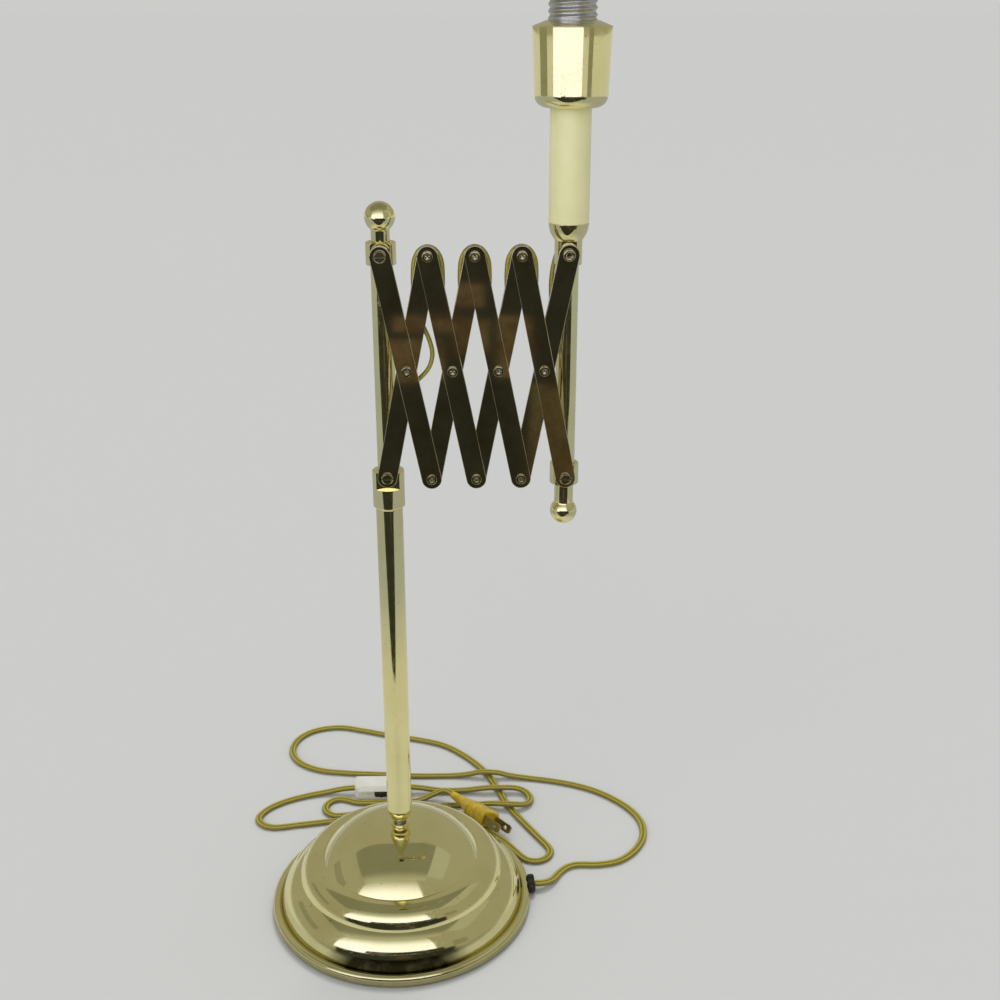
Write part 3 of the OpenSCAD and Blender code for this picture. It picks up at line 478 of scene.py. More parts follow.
tailRoute = [
    (-1, 127, 5.9), (8, 127, 5), (24, 126.5, 2.6), (44, 126, 2.8), (62, 125.5, 5), (76, 125.5, 5),
    (84, 125.2, 4.6), (89.7, 123.7, 3.6), (93.9, 119.5, 2.6), (95.4, 113.8, 2.2), (93.9, 108, 2.6),
    (89.7, 103.9, 3.8), (84, 102.4, 5), (74, 103.4, 5), (62, 105.8, 3.8), (48, 107.2), (18, 107),
    (-24, 101.5), (-52, 96), (-58.6, 96.8), (-63.5, 101.3), (-65, 106.8), (-63.5, 112.3),
    (-59.5, 116.3), (-54, 117.8), (-48.5, 116.3), (-43, 113.7), (-36, 112.4), (6, 113.5, 2),
    (18, 117, 5), (26, 117.6, 8), (31, 114.4, 9.4), (34.72, 109.71, 9.6)]


def smoothPath(points, steps):
    # Passes through every point, rounder where they lie apart
    p = [Vector(q) for q in points]
    p = [2 * p[0] - p[1]] + p + [2 * p[-1] - p[-2]]
    path = []
    for a, b, c, d in zip(p, p[1:], p[2:], p[3:]):
        k = [0.0]
        for u, v in ((a, b), (b, c), (c, d)):
            k.append(k[-1] + max((v - u).length, 1e-6) ** 0.5)
        for i in range(steps):
            t = k[1] + (k[2] - k[1]) * i / steps
            ab = a + (b - a) * ((t - k[0]) / (k[1] - k[0]))
            bc = b + (c - b) * ((t - k[1]) / (k[2] - k[1]))
            cd = c + (d - c) * ((t - k[2]) / (k[3] - k[2]))
            abc = ab + (bc - ab) * ((t - k[0]) / (k[2] - k[0]))
            bcd = bc + (cd - bc) * ((t - k[1]) / (k[3] - k[1]))
            path.append(abc + (bcd - abc) * ((t - k[1]) / (k[2] - k[1])))
            path[-1].z = max(path[-1].z, cordSizes["lowest"])
    return path + [p[-2]]


def sweep(path, section, flat):
    # Rings of the section along the path; a flat one keeps its wide side level
    ways = [(path[min(i + 1, len(path) - 1)] - path[max(i - 1, 0)]).normalized() for i in range(len(path))]
    level, upright = Vector((0, 0, 1)), Vector((0, 1, 0))
    side = ways[0].cross(level if flat else upright).normalized()
    width = max(abs(s[0]) for s in section)
    verts, uvs, run = [], [], 0.0
    for i, (point, way) in enumerate(zip(path, ways)):
        side = (way.cross(level) if flat else side - side.dot(way) * way).normalized()
        up = side.cross(way)
        run += (point - path[i - 1]).length if i else 0
        for across, height in section:
            verts.append(point + across * side + height * up)
            uvs.append(((across / width / 2 + 0.5) / (1 if flat else 2), run * mm))
    n = len(section)
    faces = [(i * n + j, (i + 1) * n + j, (i + 1) * n + (j + 1) % n, i * n + (j + 1) % n)
             for i in range(len(path) - 1) for j in range(n)]
    faces += [tuple(range(n)), tuple(range(len(verts) - 1, len(verts) - n - 1, -1))]
    return (verts, faces, uvs), run


def twinSection():
    # Two round halves joined by a web, with a groove on both sides: each half is 276 degrees round
    r = cordSizes["thick"] / 2
    angles = [math.radians(a) for a in range(-138, 139, 23)]
    half = [(r + r * math.cos(a), r * math.sin(a)) for a in angles]
    return half + [(-x, -y) for x, y in half]


def roundSection(width, sides=14):
    angles = [math.tau * i / sides for i in range(sides)]
    return [(width / 2 * math.cos(a), width / 2 * math.sin(a)) for a in angles]


def makeFlatCord(name, route, solid):
    laid = [point if len(point) == 3 else point + (cordSizes["floor"],) for point in route]
    path = smoothPath(laid, cordSizes["steps"])
    shell, run = sweep(path, twinSection(), True)
    cord = makePiece(name, [shell], finish["clear_gold_cord"], "base", [solid], 60)
    return cord, path, run


# The cord along the arm, in millimetres from the underside of the mast or from a row of pivots
armRows = {"mast": 297.0, "middle": 385.41, "upper": 452.82, "spacing": 27.0, "head": 108.0, "y": -4.0}
# Heights between which it passes from the mast to the first link, and from the last link to the stem,
# and places across a link's upper end and across a loop, where it passes from one link to the next
armBends = {"mast": (314, 347), "head": (434, 462), "end": (-8.4, 8.3), "endZ": 452.8, "loop": (8.1, 18.9),
            "loopZ": 392}


def from3(x, row, run):
    return [(x + p[0], p[1], armRows[row] + p[2]) for p in run]


def behind(place, row, run):
    return [(place * armRows["spacing"] + p[0], armRows["y"], armRows[row] + p[1]) for p in run]


outOfMast = from3(0, "mast", [
    (0, 0, 0.3), (0, 0.4, 2.8), (0, 2.5, 4.6), (0, 6, 5.2), (0, 10, 6), (0, 12.3, 9), (0, 12.6, 17),
    (0.5, 11.4, 27), (2, 9.4, 39), (5, 7.4, 50), (8.6, 3.2, 60), (10.6, -1.5, 69), (14, -4, 76.5),
    (20.5, -4, 82), (26.5, -4, 89), (28.6, -4, 97), (27, -4, 105.5), (23.5, -4, 114), (20.4, -4, 123)])
climb = [(-8.2, -36.8)]
rise = [(-8.4, -22.8), (-8.6, -10.8), (-7.6, -2.8), (-4.3, 2.7), (0, 4.4)]
fall = [(4.3, 2.7), (7.6, -2.8), (8.4, -10.8), (8.2, -22.8), (8.2, -36.8)]
roundBehind = [(-5.4, 16.6), (-5.4, 12.6), (-3.8, 8.8), (0, 7.3), (3.8, 8.8), (5.4, 12.6), (5.4, 16.6)]
toHead = from3(armRows["head"], "upper", [
    (-8.6, -4, -39.8), (-9.4, -3, -28.8), (-9.6, 0.5, -18.8), (-8.4, 5, -9.8), (-5.8, 9.2, -1.8),
    (-2.4, 12, 4.7), (0, 13.4, 9.2), (0, 11.6, 11.4), (0, 6, 11.6), (0, 2.4, 12.6), (0, 0.5, 15.2),
    (0, 0, 20.2), (0, 0, 47.2), (0, 0, 72.2), (0, 0, 94.2)])


def armRoute():
    # One long route, and the places behind the middles of the links where it is cut
    route = outOfMast + behind(1, "upper", rise)
    cuts = behind(1, "upper", rise[:1])
    for i in (1, 2, 3):
        route += behind(i, "upper", fall) + behind(i + 0.5, "middle", roundBehind)
        cuts += behind(i, "upper", fall[-1:])
        if i < 3:
            route += behind(i + 1, "upper", climb + rise)
            cuts += behind(i + 1, "upper", climb)
    return route + toHead, cuts + toHead[:1]


def armBendLines():
    # From where to where each stretch passes from one body to the next
    low, high = armBends["mast"]
    lines = [((0, 0, low), (0, 0, high))]
    for i in (1, 2, 3):
        across = i * armRows["spacing"]
        for name in ("end", "loop"):
            (start, end), z = armBends[name], armBends[name + "Z"]
            lines.append(((across + start, 0, z), (across + end, 0, z)))
    low, high = armBends["head"]
    return lines + [((armRows["head"], 0, low), (armRows["head"], 0, high))]


def makeArmCord():
    # The arm cord in stretches cut behind the links, each in place of its solid and on no body
    route, cuts = armRoute()
    path = smoothPath(route, 4)
    marks = [0]
    for x, _, z in cuts:
        marks.append(min(range(len(path)), key=lambda k: (path[k].x - x) ** 2 + (path[k].z - z) ** 2))
    marks.append(len(path) - 1)
    chain = ["mast", "back_link_1", "front_link_2", "back_link_2", "front_link_3", "back_link_3",
             "front_link_4", "back_link_4", "lampholder"]
    for k, (start, end) in enumerate(armBendLines()):
        shell, _ = sweep(path[marks[k]:marks[k + 1] + 1], roundSection(cordSizes["armWidth"]), False)
        replaced = ["arm_cord_%d" % (k + 1)] + (["arm_cord_9"] if k == len(chain) - 2 else [])
        piece = makePiece("arm_cord_bend_%d" % (k + 1), [shell], finish["clear_gold_cord"], None,
                          replaced, 60)
        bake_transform(piece)


lead = makeFlatCord("cord_lead_flat", leadRoute, "cord_lead")
tail = makeFlatCord("cord_tail_flat", tailRoute, "cord_tail")
makeArmCord()
print("cords laid")

# Base

baseSizes = {"lip": (88.9, 0.4), "edge": (90, 2.6), "rim": (89.5, 5.8), "valley": (83.5, 6.4),
             "crestLow": (69.5, 27.5), "crestHigh": (53, 40), "crown": (6, 62), "hole": 4.05, "wall": 1.5}
baseArcs = [("rim", "valley", 130, 18), ("valley", "crestLow", 55, 22), ("crestLow", "crestHigh", 84, 26),
            ("crestHigh", "crown", 56, 40)]  # from, to, turn in degrees, steps


def baseOutline(depth):
    s = baseSizes
    line = [(s[name][0] - depth, s[name][1]) for name in ("lip", "edge")]
    for start, end, turn, steps in baseArcs:
        line += arcPoints(s[start], s[end], turn, steps, depth)
    return line + [(s["hole"], s["crown"][1] - depth)]


def makeBase():
    s = baseSizes
    outline = baseOutline(0) + baseOutline(s["wall"])[::-1]
    dress("base_shell", [turnedShell(softened(outline, 0.6), segments=288)], look=spunBrass)
    nut = [(s["hole"], 62), (5.9, 62), (6, 62.3), (6, 63.6), (5.6, 64), (s["hole"], 64)]
    dress("base_locknut", [turnedShell(softened(nut, 0.2), segments=48)])
    makeBushing()


bushingSizes = {"turn": 3.9, "lobeX": 90, "lobeY": 3.6, "lobeZ": 5.2, "half": 4.8}
lobeOutline = [(0, -1.3), (3.9, -1.3), (4.3, 0), (4.3, 2.7), (3.2, 3.5), (1.4, 3.5), (0, 3.3)]
slotOutline = [(82, 1.5), (88.8, 1.5), (88.8, 6.4), (87.6, 7.2), (82, 7.2)]


def makeBushing():
    # Two soft lobes side by side with the cord between them, and a block that fills the slot
    s = bushingSizes
    turn = Matrix.Rotation(math.radians(s["turn"]), 3, "Z")
    lobe = softened(lobeOutline, 0.6)
    shells = []
    for side in (-1, 1):
        verts, faces = turnedShell(lobe, segments=40)
        spots = [(s["lobeX"] + v[2], side * s["lobeY"] + v[0], s["lobeZ"] + v[1]) for v in verts]
        shells.append(([tuple(turn @ Vector(spot)) for spot in spots], faces))
    corners = [(x, y, z) for y in (-s["half"], s["half"]) for x, z in slotOutline]
    n = len(slotOutline)
    sides = [tuple(range(n)), tuple(range(2 * n - 1, n - 1, -1))]
    sides += [(i, i + n, (i + 1) % n + n, (i + 1) % n) for i in range(n)]
    shells.append(([tuple(turn @ Vector(p)) for p in corners], sides))
    dress("strain_relief", shells, sharp=45)


# Post, fittings and rails

rowLow, rowHigh, headX = 318.0, 452.823, 108.0
flatAt = 6.7  # how far in front of the axes the flats are


def pressed(low, high):
    # A flat on the front between two heights
    return lambda x, y, z: (x, max(y, -flatAt) if low <= z <= high else y, z)


postSizes = {"neck": 4.05, "foot": (5.8, 67.6), "wide": (8.25, 77), "middle": 187, "top": 296.7,
             "edge": 0.5, "bore": 6, "floor": 86}


def makePost():
    s = postSizes
    wide, neck, bore, top = s["wide"][0], s["neck"], s["bore"], s["top"]
    outline = [(neck, s["foot"][1])] + arcPoints(s["foot"], s["wide"], 40, 12)
    outline += [(wide, s["middle"]), (wide, top - s["edge"]), (wide - s["edge"], top), (bore, top)]
    outline += [(bore, s["floor"]), (neck, s["floor"])]
    dress("post", [turnedShell(softened(outline, 0.3), segments=96)])


def makeMast():
    low, flatLow, top = 297.0, 309.7, 320.5
    outline = [(3, 277), (5.93, 277), (5.93, low), (9.3, low), (9.8, low + 0.5), (9.8, flatLow - 0.02),
               (9.8, flatLow), (9.8, top - 0.4), (9.4, top), (6.3, top), (6.3, 305), (3, 305)]
    dress("mast_fitting", [turnedShell(softened(outline, 0.25), segments=160,
                                       shape=pressed(flatLow, top + 1))])


railSizes = {"inside": 4.75, "outside": 6.25}
rails = {"left_rail": {"x": 0, "low": 305, "high": 459.3},
         "right_rail": {"x": headX, "low": 311, "high": 458.02}}


def makeRail(node, x, low, high):
    inside, outside = railSizes["inside"], railSizes["outside"]
    outline = [(inside, low), (outside, low), (outside, (low + high) / 2), (outside, high), (inside, high)]
    dress(node, [turnedShell(softened(outline, 0.25), x=x, segments=72)])


plugIn = {"radius": 4.7, "deep": 10}  # the part of a finial inside its rail
finials = {"left_finial": {"x": 0, "z": 459.32, "way": 1, "ball": 17.6, "rise": 14.1, "neck": 10.8},
           "right_finial": {"x": headX, "z": 311, "way": -1, "ball": 16.5, "rise": 18.25, "neck": 11.5}}


def makeFinial(node, x, z, way, ball, rise, neck):
    # A ball on a neck; way is 1 when it points up and -1 when it hangs
    r, inside = ball / 2, plugIn["radius"]
    cling = math.asin(neck / 2 / r)
    curve = [(r * math.sin(t), rise - r * math.cos(t)) for t in
             [cling + (math.pi - cling) * i / 40 for i in range(41)]]
    outline = [(0, -plugIn["deep"]), (inside, -plugIn["deep"]), (inside, 0), (neck / 2, 0),
               (neck / 2, rise - r * math.cos(cling) - 0.5)]
    outline += curve[1:-1] + [(0, rise + r)]
    outline = [(a, b * way) for a, b in outline]
    dress(node, [turnedShell(softened(outline, 0.3), x=x, z=z, segments=112)])


collarSizes = {"half": 6.5, "bore": 6.35, "wide": 8.8, "edge": 0.4, "boss": 4.5, "bossFrom": 6.6,
               "bossTo": 9.4}
collars = {"left_collar": {"x": 0, "z": rowHigh}, "right_collar": {"x": headX, "z": rowLow}}


def makeCollar(node, x, z):
    s = collarSizes
    low, high, wide, edge = z - s["half"], z + s["half"], s["wide"], s["edge"]
    outline = [(s["bore"], low), (wide - edge, low), (wide, low + edge), (wide, high - edge),
               (wide - edge, high), (s["bore"], high)]
    ring = turnedShell(softened(outline, 0.25), x=x, segments=144,
                       shape=lambda a, b, c: (a, max(b, -flatAt), c))
    disc = [(0, s["bossFrom"]), (s["boss"], s["bossFrom"]), (s["boss"], s["bossTo"]), (0, s["bossTo"])]
    boss = turnedShell(softened(disc, 0.25), x=x, z=z, along="y", segments=56)
    dress(node, [ring, boss])


def makeHeadFitting():
    low, flatTop, stemLow = rowHigh - 7, rowHigh + 7.2, rowHigh + 17.2
    outline = [(6.3, low), (7.5, low), (7.95, low + 0.5), (7.95, flatTop - 0.02), (7.95, flatTop)]
    outline += arcPoints((7.95, flatTop + 0.02), (11.6, stemLow), 40, 16)
    outline += [(10.05, stemLow), (10.05, stemLow + 8), (3, stemLow + 8), (3, low + 12.2), (6.3, low + 12.2)]
    dress("right_fitting", [turnedShell(softened(outline, 0.2), x=headX, segments=144,
                                        shape=pressed(low - 1, flatTop))])


# Links and what holds them

barSizes = {"length": 137.5, "width": 12.0, "thick": 2.4, "edge": 0.4, "lean": 11.326, "back": 7.0,
            "front": 9.7, "spacing": 27.0}


def barShell(x, lean, rear):
    s = barSizes
    r, e = s["width"] / 2, s["edge"]
    outline = [(r, math.radians(a), 0) for a in range(180, 361, 9)]
    outline += [(r, math.radians(a), s["length"]) for a in range(0, 181, 9)]
    rounds = [(e * (1 - math.sin(t)), e * (1 - math.cos(t))) for t in (0, 0.524, 1.047, 1.571)]
    rings = rounds + [(inset, s["thick"] - deep) for inset, deep in rounds[::-1]]
    c, n = math.cos(math.radians(lean)), math.sin(math.radians(lean))
    verts, uvs = [], []
    for inset, deep in rings:
        for radius, angle, up in outline:
            across, along = (radius - inset) * math.cos(angle), up + (radius - inset) * math.sin(angle)
            verts.append((x + across * c + along * n, -rear - deep, rowLow + along * c - across * n))
            uvs.append((across * mm, along * mm))
    k = len(outline)
    faces = [(i * k + j, i * k + (j + 1) % k, (i + 1) * k + (j + 1) % k, (i + 1) * k + j)
             for i in range(len(rings) - 1) for j in range(k)]
    return verts, faces + [tuple(range(k)), tuple(range(len(verts) - k, len(verts)))], uvs


rivetSizes = {"head": 3.2, "pin": 2.0, "face": 12.1, "top": 13.3, "low": 5.85, "under": 6.95, "cup": 1.5}


def rivetShell(x, z):
    s = rivetSizes

    def clinched(a, b, deep):
        # The hollow end is split in four and folded back on itself
        radius = math.hypot(a, b)
        if deep < s["face"] or radius > s["cup"] + 0.1:
            return a, b, deep
        fold = 0.5 + 0.5 * math.cos(4 * math.atan2(b, a))
        return a, b, deep + 0.25 * fold * min(1.0, radius / s["cup"])

    head, pin = s["head"], s["pin"]
    outline = [(0, s["low"]), (2.7, s["low"]), (head, s["low"] + 0.5), (head, s["under"]), (pin, s["under"]),
               (pin, s["face"]), (head, s["face"]), (head, s["face"] + 0.7), (2.95, s["top"] - 0.1),
               (2.6, s["top"]), (1.75, s["top"]), (s["cup"], s["top"] - 0.45), (0.9, s["top"] - 0.5),
               (0.4, s["top"] - 0.5), (0, s["top"] - 0.5)]
    return turnedShell(softened(outline, 0.12), x=x, z=z, along="y", segments=48, shape=clinched)


def makeLinks():
    s = barSizes
    rowMiddle = (rowLow + rowHigh) / 2
    for i in (1, 2, 3, 4):
        dress("link_back_%d" % i, [barShell((i - 1) * s["spacing"], s["lean"], s["back"])])
        dress("link_front_%d" % i, [barShell(i * s["spacing"], -s["lean"], s["front"])])
        spots = [((i - 0.5) * s["spacing"], rowMiddle)]
        spots += [((i - 1) * s["spacing"], rowHigh)] if i > 1 else []
        spots += [(i * s["spacing"], rowLow)] if i < 4 else []
        dress("rivets_%d" % i, [rivetShell(*spot) for spot in spots])


def makeEyelet():
    under = 9.45
    outline = [(1.2, 4.2), (2, 4.2), (2, under), (3.7, under), (3.7, under + 0.6)]
    outline += arcPoints((3.6, under + 0.75), (1.9, under + 1.1), 80, 8) + [(1.2, under + 0.5)]
    dress("pivot_eyelet", [turnedShell(softened(outline, 0.12), x=headX, z=rowHigh, along="y", segments=56)])


# Lampholder

cupSizes = {"low": 533.02, "side": 540.02, "top": 574.82, "foot": 15.15, "sideR": 20.65, "rimR": 22.0,
            "wall": 1.2}
threadSizes = {"pitch": 3.63, "deep": 1.0, "crest": 13.5, "sheet": 0.4, "foot": 564.8, "shoulder": 578,
               "first": 578.2, "step": 0.24, "rings": 106, "low": 578.4, "top": 603.2, "end": 604}


def makeLampholder():
    s = cupSizes
    foot = arcPoints((s["foot"], s["low"]), (s["sideR"], s["side"]), 80, 18)
    inner = arcPoints((s["foot"], s["low"]), (s["sideR"], s["side"]), 80, 18, s["wall"])
    cup = [(5.05, s["low"])] + foot + [(21.3, 559), (s["rimR"], s["top"]), (s["rimR"] - s["wall"], s["top"])]
    cup += inner[::-1] + [(5.05, s["low"] + s["wall"])]
    dress("socket_cup", [turnedShell(softened(cup, 0.3), x=headX, segments=128)])
    lid = [(13.65, 578), (13.65, 576.8), (19, 573.6), (19, 564.8), (20.2, 564.8), (20.2, 574.8), (22, 574.8),
           (22, 575.1), (14.7, 578)]
    dress("socket_lid", [turnedShell(softened(lid, 0.3), x=headX, segments=128)])
    core = [(5.05, 538.22), (9, 538.22), (9, 559.8), (19.95, 559.8), (19.95, 564.8), (11.9, 564.8),
            (11.9, 577), (7, 577), (6, 576.2), (0, 576.2), (0, 550.22), (5.05, 550.22)]
    dress("socket_body", [turnedShell(softened(core, 0.4), x=headX, segments=72)])
    tube = [(10.1, 470.02), (11.6, 470.02), (11.6, 501), (11.6, 533), (10.1, 533)]
    dress("stem_tube", [turnedShell(softened(tube, 0.25), x=headX, segments=96)], look=finish["sleeve"])
    makeScrewShell()


def makeScrewShell():
    # Thin sheet rolled into a coarse thread
    s = threadSizes

    def rolled(a, b, z):
        radius = math.hypot(a, b)
        ease = max(0.0, min(1.0, z - s["low"])) * max(0.0, min(1.0, (s["top"] - z) / 1.5))
        turn = z / s["pitch"] - math.atan2(b, a) / math.tau
        dip = s["deep"] * ease * (0.5 - 0.5 * math.cos(math.tau * turn)) ** 0.8
        return a * (radius - dip) / radius, b * (radius - dip) / radius, z

    steps = [s["first"] + s["step"] * i for i in range(s["rings"])]
    outside = [(s["crest"], z) for z in [s["foot"], s["shoulder"]] + steps + [s["end"] - 0.2, s["end"]]]
    inside = [(s["crest"] - s["sheet"], z) for z in [s["end"]] + steps[:7:-1]]
    inside += [(12.0, 580.0), (12.4, 576), (12.4, s["foot"])]
    dress("screw_shell", [turnedShell(outside + inside, x=headX, segments=120, shape=rolled)], sharp=50)


# Switch and plug

plugSizes = {"at": (63, 76, 9.6), "way": -50, "roll": -30, "sides": 44, "grip": -7.5, "gripPitch": 4.4,
             "tail": -31.5, "tailPitch": 3, "blades": 0.25}


def plugFrame():
    turn = Matrix.Rotation(math.radians(plugSizes["way"]), 4, "Z")
    roll = Matrix.Rotation(math.radians(plugSizes["roll"]), 4, "X")
    return Matrix.Translation(plugSizes["at"]) @ turn @ roll


def makePlug():
    # Moulded body: flat front, waisted grip with three finger ribs, ribbed tail round the cord.
    # Each station is its place, half its width, half its height, and how square it is
    s, place = plugSizes, plugFrame()
    stations = [(0, 8.8, 5.3, 3.5), (-0.5, 9.6, 6.1, 3.5), (-1.4, 10, 6.45, 3.5), (-5, 10, 6.5, 3.4)]
    for i in range(3):
        x = s["grip"] - s["gripPitch"] * i
        stations += [(x, 9.9 - 0.35 * i, 6.45 - 0.1 * i, 3.2), (x - 1.1, 9.2 - 0.4 * i, 5.95 - 0.1 * i, 3.0),
                     (x - 2.2, 9.1 - 0.4 * i, 5.9 - 0.1 * i, 3.0),
                     (x - 3.3, 9.7 - 0.4 * i, 6.3 - 0.15 * i, 3.1)]
    stations += [(-21.5, 8.3, 5.6, 2.8), (-24.5, 7.1, 5.0, 2.5), (-27.5, 5.7, 4.4, 2.3), (-30, 4.7, 4.0, 2.1)]
    for i in range(4):
        x = s["tail"] - s["tailPitch"] * i
        wide = 4.2 - 0.25 * i
        stations += [(x, wide, wide - 0.3, 2), (x - 0.8, wide - 0.45, wide - 0.75, 2),
                     (x - 1.6, wide - 0.45, wide - 0.75, 2), (x - 2.2, wide - 0.1, wide - 0.4, 2)]
    stations += [(-43.6, 3.2, 2.9, 2), (-44, 2.9, 2.6, 2)]
    sides, verts = s["sides"], []
    for x, wide, high, power in stations:
        for k in range(sides):
            c, n = math.cos(math.tau * k / sides), math.sin(math.tau * k / sides)
            y = wide * math.copysign(abs(c) ** (2 / power), c)
            z = high * math.copysign(abs(n) ** (2 / power), n)
            verts.append(tuple(place @ Vector((x, y, z))))
    faces = [(a + j, a + (j + 1) % sides, a + sides + (j + 1) % sides, a + sides + j)
             for a in range(0, len(verts) - sides, sides) for j in range(sides)]
    faces += [tuple(range(sides)), tuple(range(len(verts) - sides, len(verts)))]
    return [dress("plug_body", [(verts, faces)], sharp=60), bevelledCopy("plug_blades", s["blades"])]


def makeSwitch():
    easing = {"switch_lower": 0.35, "switch_cover": 0.45, "switch_wheel": 0.2, "switch_screw": 0.12}
    return [bevelledCopy(node, width) for node, width in easing.items()]


makeBase()
print("base made")
makePost()
makeMast()
for make, table in ((makeRail, rails), (makeFinial, finials), (makeCollar, collars)):
    for name, sizes in table.items():
        make(name, **sizes)
makeHeadFitting()
print("post and fittings made")
makeLinks()
makeEyelet()
for screw in ("pivot_screw", "left_collar_screw", "right_collar_screw"):
    bevelledCopy(screw, 0.1)
print("links made")
makeLampholder()
makePlug()
makeSwitch()
print("lampholder, plug and switch made")

# Floor, light and what the metal mirrors

stageLook = {"floor": "#D1D2CF", "floorSize": 150, "sky": 0.55, "mirrored": (0.34, 0.33, 0.28),
             "horizon": "#CCCDCA"}
suns = {"behind": {"way": (-0.12, -0.55, -1), "wide": 24, "power": 1.0},
        "front": {"way": (0.5, 1, -0.55), "wide": 60, "power": 0.9}}
dark, brown, dull, pale = (0.03, 0.031, 0.026), (0.12, 0.085, 0.055), (0.25, 0.245, 0.2), (0.43, 0.43, 0.4)

# Cards in metres that only the metal mirrors. A fade gives the axis, or the radius, along which the
# colour changes, where it starts and ends, and the last colour
cards = {
    # The tent's opening is dark below a bright flap, with a dull ceiling above
    "tent_opening": {"x": (-1.15, 0.85), "y": -0.78, "z": (0.0, 0.33), "colour": dark},
    "tent_opening_top": {"x": (-0.45, 0.62), "y": -0.775, "z": (0.33, 0.43), "colour": dark},
    "tent_mouth": {"corners": [(-0.12, -0.33, 0.002), (0.05, -0.33, 0.002), (0.55, -0.78, 0.002),
                               (-0.9, -0.78, 0.002)], "colour": dark},
    "tent_flap": {"x": (-1.3, 0.5), "y": -0.78, "z": (0.33, 1.45), "colour": (1.3, 1.3, 1.75),
                  "fade": ("z", 0.55, 1.45, pale)},
    "tent_ceiling": {"x": (-1.4, 0.85), "y": (-0.78, 0.75), "z": 1.45, "colour": (0.21, 0.21, 0.17),
                     "fade": ("y", -0.35, -0.78, pale)},
    "tent_ceiling_lit": {"x": (0.8, 1.7), "y": (-0.6, 0.75), "z": 1.46, "colour": (0.4, 0.4, 0.37)},
    "tent_hole": {"x": (-0.045, 0.055), "y": (-0.07, 0.03), "z": 1.44, "colour": (0.004, 0.004, 0.004)},
    "tent_edge_right": {"x": (0.86, 1.4), "y": -0.78, "z": (0.33, 0.66), "colour": dull},
    "tent_edge_left": {"corners": [(-1.35, -0.2, 0.36), (-1.35, 0.6, 0.36), (-1.35, 0.6, 0.62),
                                   (-1.35, -0.2, 0.62)], "colour": dull}}
# The floor loses light away from the lamp
farFloor = {"radii": (0.26, 4.0), "z": 0.001, "steps": 64, "colour": (0.6, 0.59, 0.56),
            "fade": ("radius", 0.26, 0.62, (0.37, 0.39, 0.44))}
# What stands in the opening, brown and small, shows in the links alone
brownSpans = [((-0.055, 0.02), (0.165, 0.215)), ((-0.04, 0.035), (0.225, 0.245)),
              ((0.03, 0.07), (0.255, 0.285)), ((0.035, 0.075), (0.2, 0.24)), ((0.085, 0.125), (0.17, 0.245))]
openingCards = {"brown_%d" % n: {"x": x, "y": -0.77 + 0.002 * n, "z": z, "colour": brown}
                for n, (x, z) in enumerate(brownSpans)}
openingCards["olive_card"] = {"x": (0.125, 0.2), "y": -0.765, "z": (0.03, 0.16), "colour": (0.1, 0.08, 0.045)}


def glowing(name, colour, fade=None):
    material = bpy.data.materials.new(name)
    material.use_nodes = True
    tree = material.node_tree
    tree.nodes.clear()
    glow = addNode(tree, "Emission", {"Color": colour + (1,), "Strength": 1.0})
    if fade:
        way, start, end, last = fade
        place = addNode(tree, "TexCoord").outputs["Object"]
        axes = addNode(tree, "SeparateXYZ", {0: place}).outputs
        radius = addNode(tree, "VectorMath", {0: place}, operation="LENGTH").outputs["Value"]
        run = {"y": axes[1], "z": axes[2], "radius": radius}[way]
        share = mapped(tree, run, (start, end), interpolation_type="SMOOTHSTEP")
        tree.links.new(tinted(tree, share, colour + (1,), last + (1,)), glow.inputs["Color"])
    addNode(tree, "OutputMaterial", {"Surface": glow.outputs[0]})
    return material


def addStaged(name, corners, faces, material, mirroredOnly=True):
    mesh = bpy.data.meshes.new(name)
    mesh.from_pydata(corners, [], faces)
    mesh.materials.append(material)
    thing = bpy.data.objects.new(name, mesh)
    if mirroredOnly:
        thing.visible_camera = thing.visible_diffuse = thing.visible_shadow = False
        thing.visible_transmission = False
    bpy.context.scene.collection.objects.link(thing)


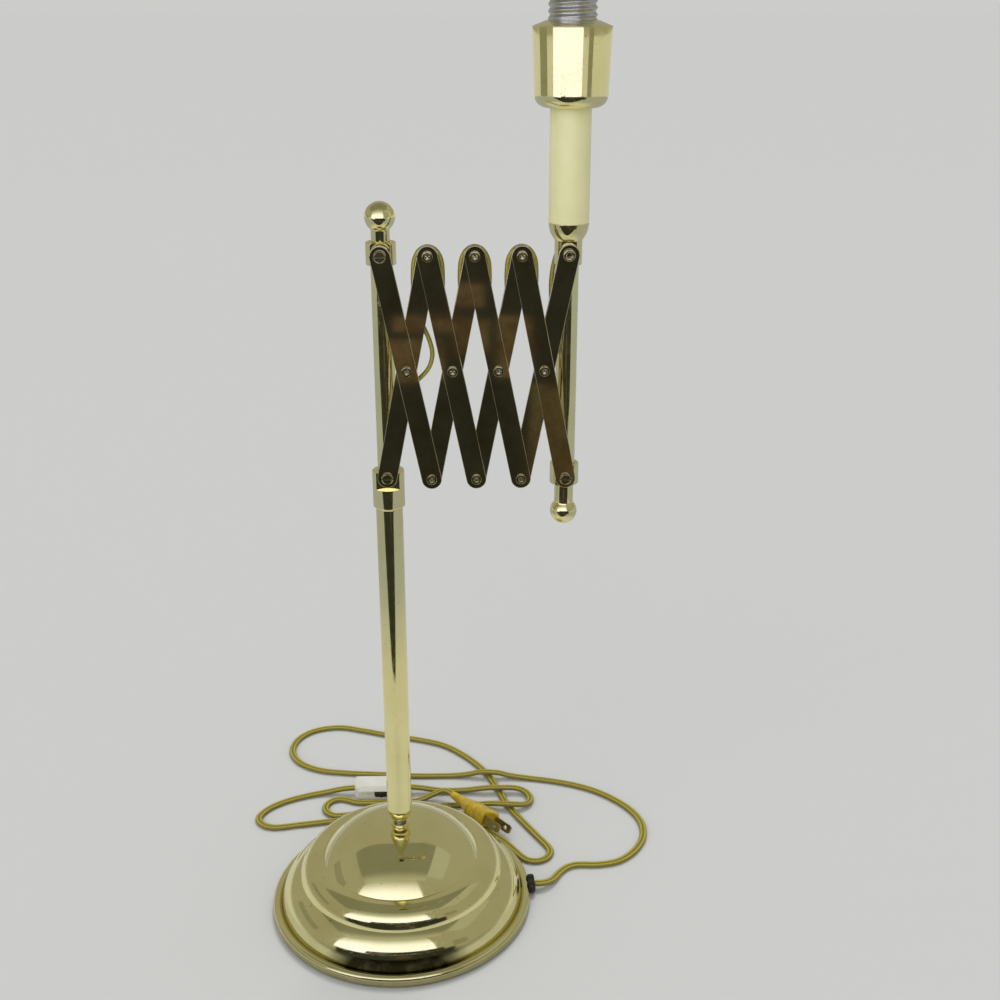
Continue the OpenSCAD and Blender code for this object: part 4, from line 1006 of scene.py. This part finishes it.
def makeCards(table):
    for name, card in table.items():
        corners = card.get("corners")
        if not corners:
            spans = [v if isinstance(v, tuple) else (v, v) for v in (card["x"], card["y"], card["z"])]
            (x0, x1), (y0, y1), (z0, z1) = spans
            corners = [(x0, y0, z0), (x1, y0, z0), (x1, y1, z1), (x0, y1, z1)]
        addStaged(name, corners, [(0, 1, 2, 3)], glowing(name, card["colour"], card.get("fade")))


def makeFloor():
    size = stageLook["floorSize"]
    paper = startMaterial("pale_paper", {"Base Color": srgb(stageLook["floor"]), "Roughness": 0.9,
                                         "Specular IOR Level": 0.05})[0]
    corners = [(-size, -size, 0), (size, -size, 0), (size, size, 0), (-size, size, 0)]
    addStaged("floor", corners, [(0, 1, 2, 3)], paper, mirroredOnly=False)


def makeFarFloor():
    s, n = farFloor, farFloor["steps"]
    corners = [(r * math.cos(math.tau * i / n), r * math.sin(math.tau * i / n), s["z"])
               for r in s["radii"] for i in range(n)]
    quads = [(i, (i + 1) % n, (i + 1) % n + n, i + n) for i in range(n)]
    addStaged("floor_away", corners, quads, glowing("floor_away", s["colour"], s["fade"]))


def makeWorld():
    world = bpy.data.worlds.new("room")
    world.use_nodes = True
    tree = world.node_tree
    tree.nodes.clear()
    ray = addNode(tree, "LightPath").outputs
    sky, mirrored = (stageLook["sky"],) * 3 + (1,), stageLook["mirrored"] + (1,)
    seen = tinted(tree, ray["Is Camera Ray"], sky, stageLook["horizon"])
    colour = tinted(tree, ray["Is Glossy Ray"], seen, mirrored)
    back = addNode(tree, "Background", {"Color": colour, "Strength": 1.0})
    addNode(tree, "OutputWorld", {"Surface": back.outputs[0]})
    bpy.context.scene.world = world


def makeSuns():
    for name, sun in suns.items():
        data = bpy.data.lights.new("lamp_" + name, "SUN")
        data.angle = math.radians(sun["wide"])
        data.energy = sun["power"]
        light = bpy.data.objects.new("lamp_" + name, data)
        light.rotation_euler = Vector(sun["way"]).to_track_quat("-Z", "Y").to_euler()
        light.visible_glossy = False
        bpy.context.scene.collection.objects.link(light)


makeFloor()
makeWorld()
makeSuns()
makeCards(cards)
makeFarFloor()
makeCards(openingCards)
bpy.context.scene.view_settings.view_transform = "Standard"
print("stage set")
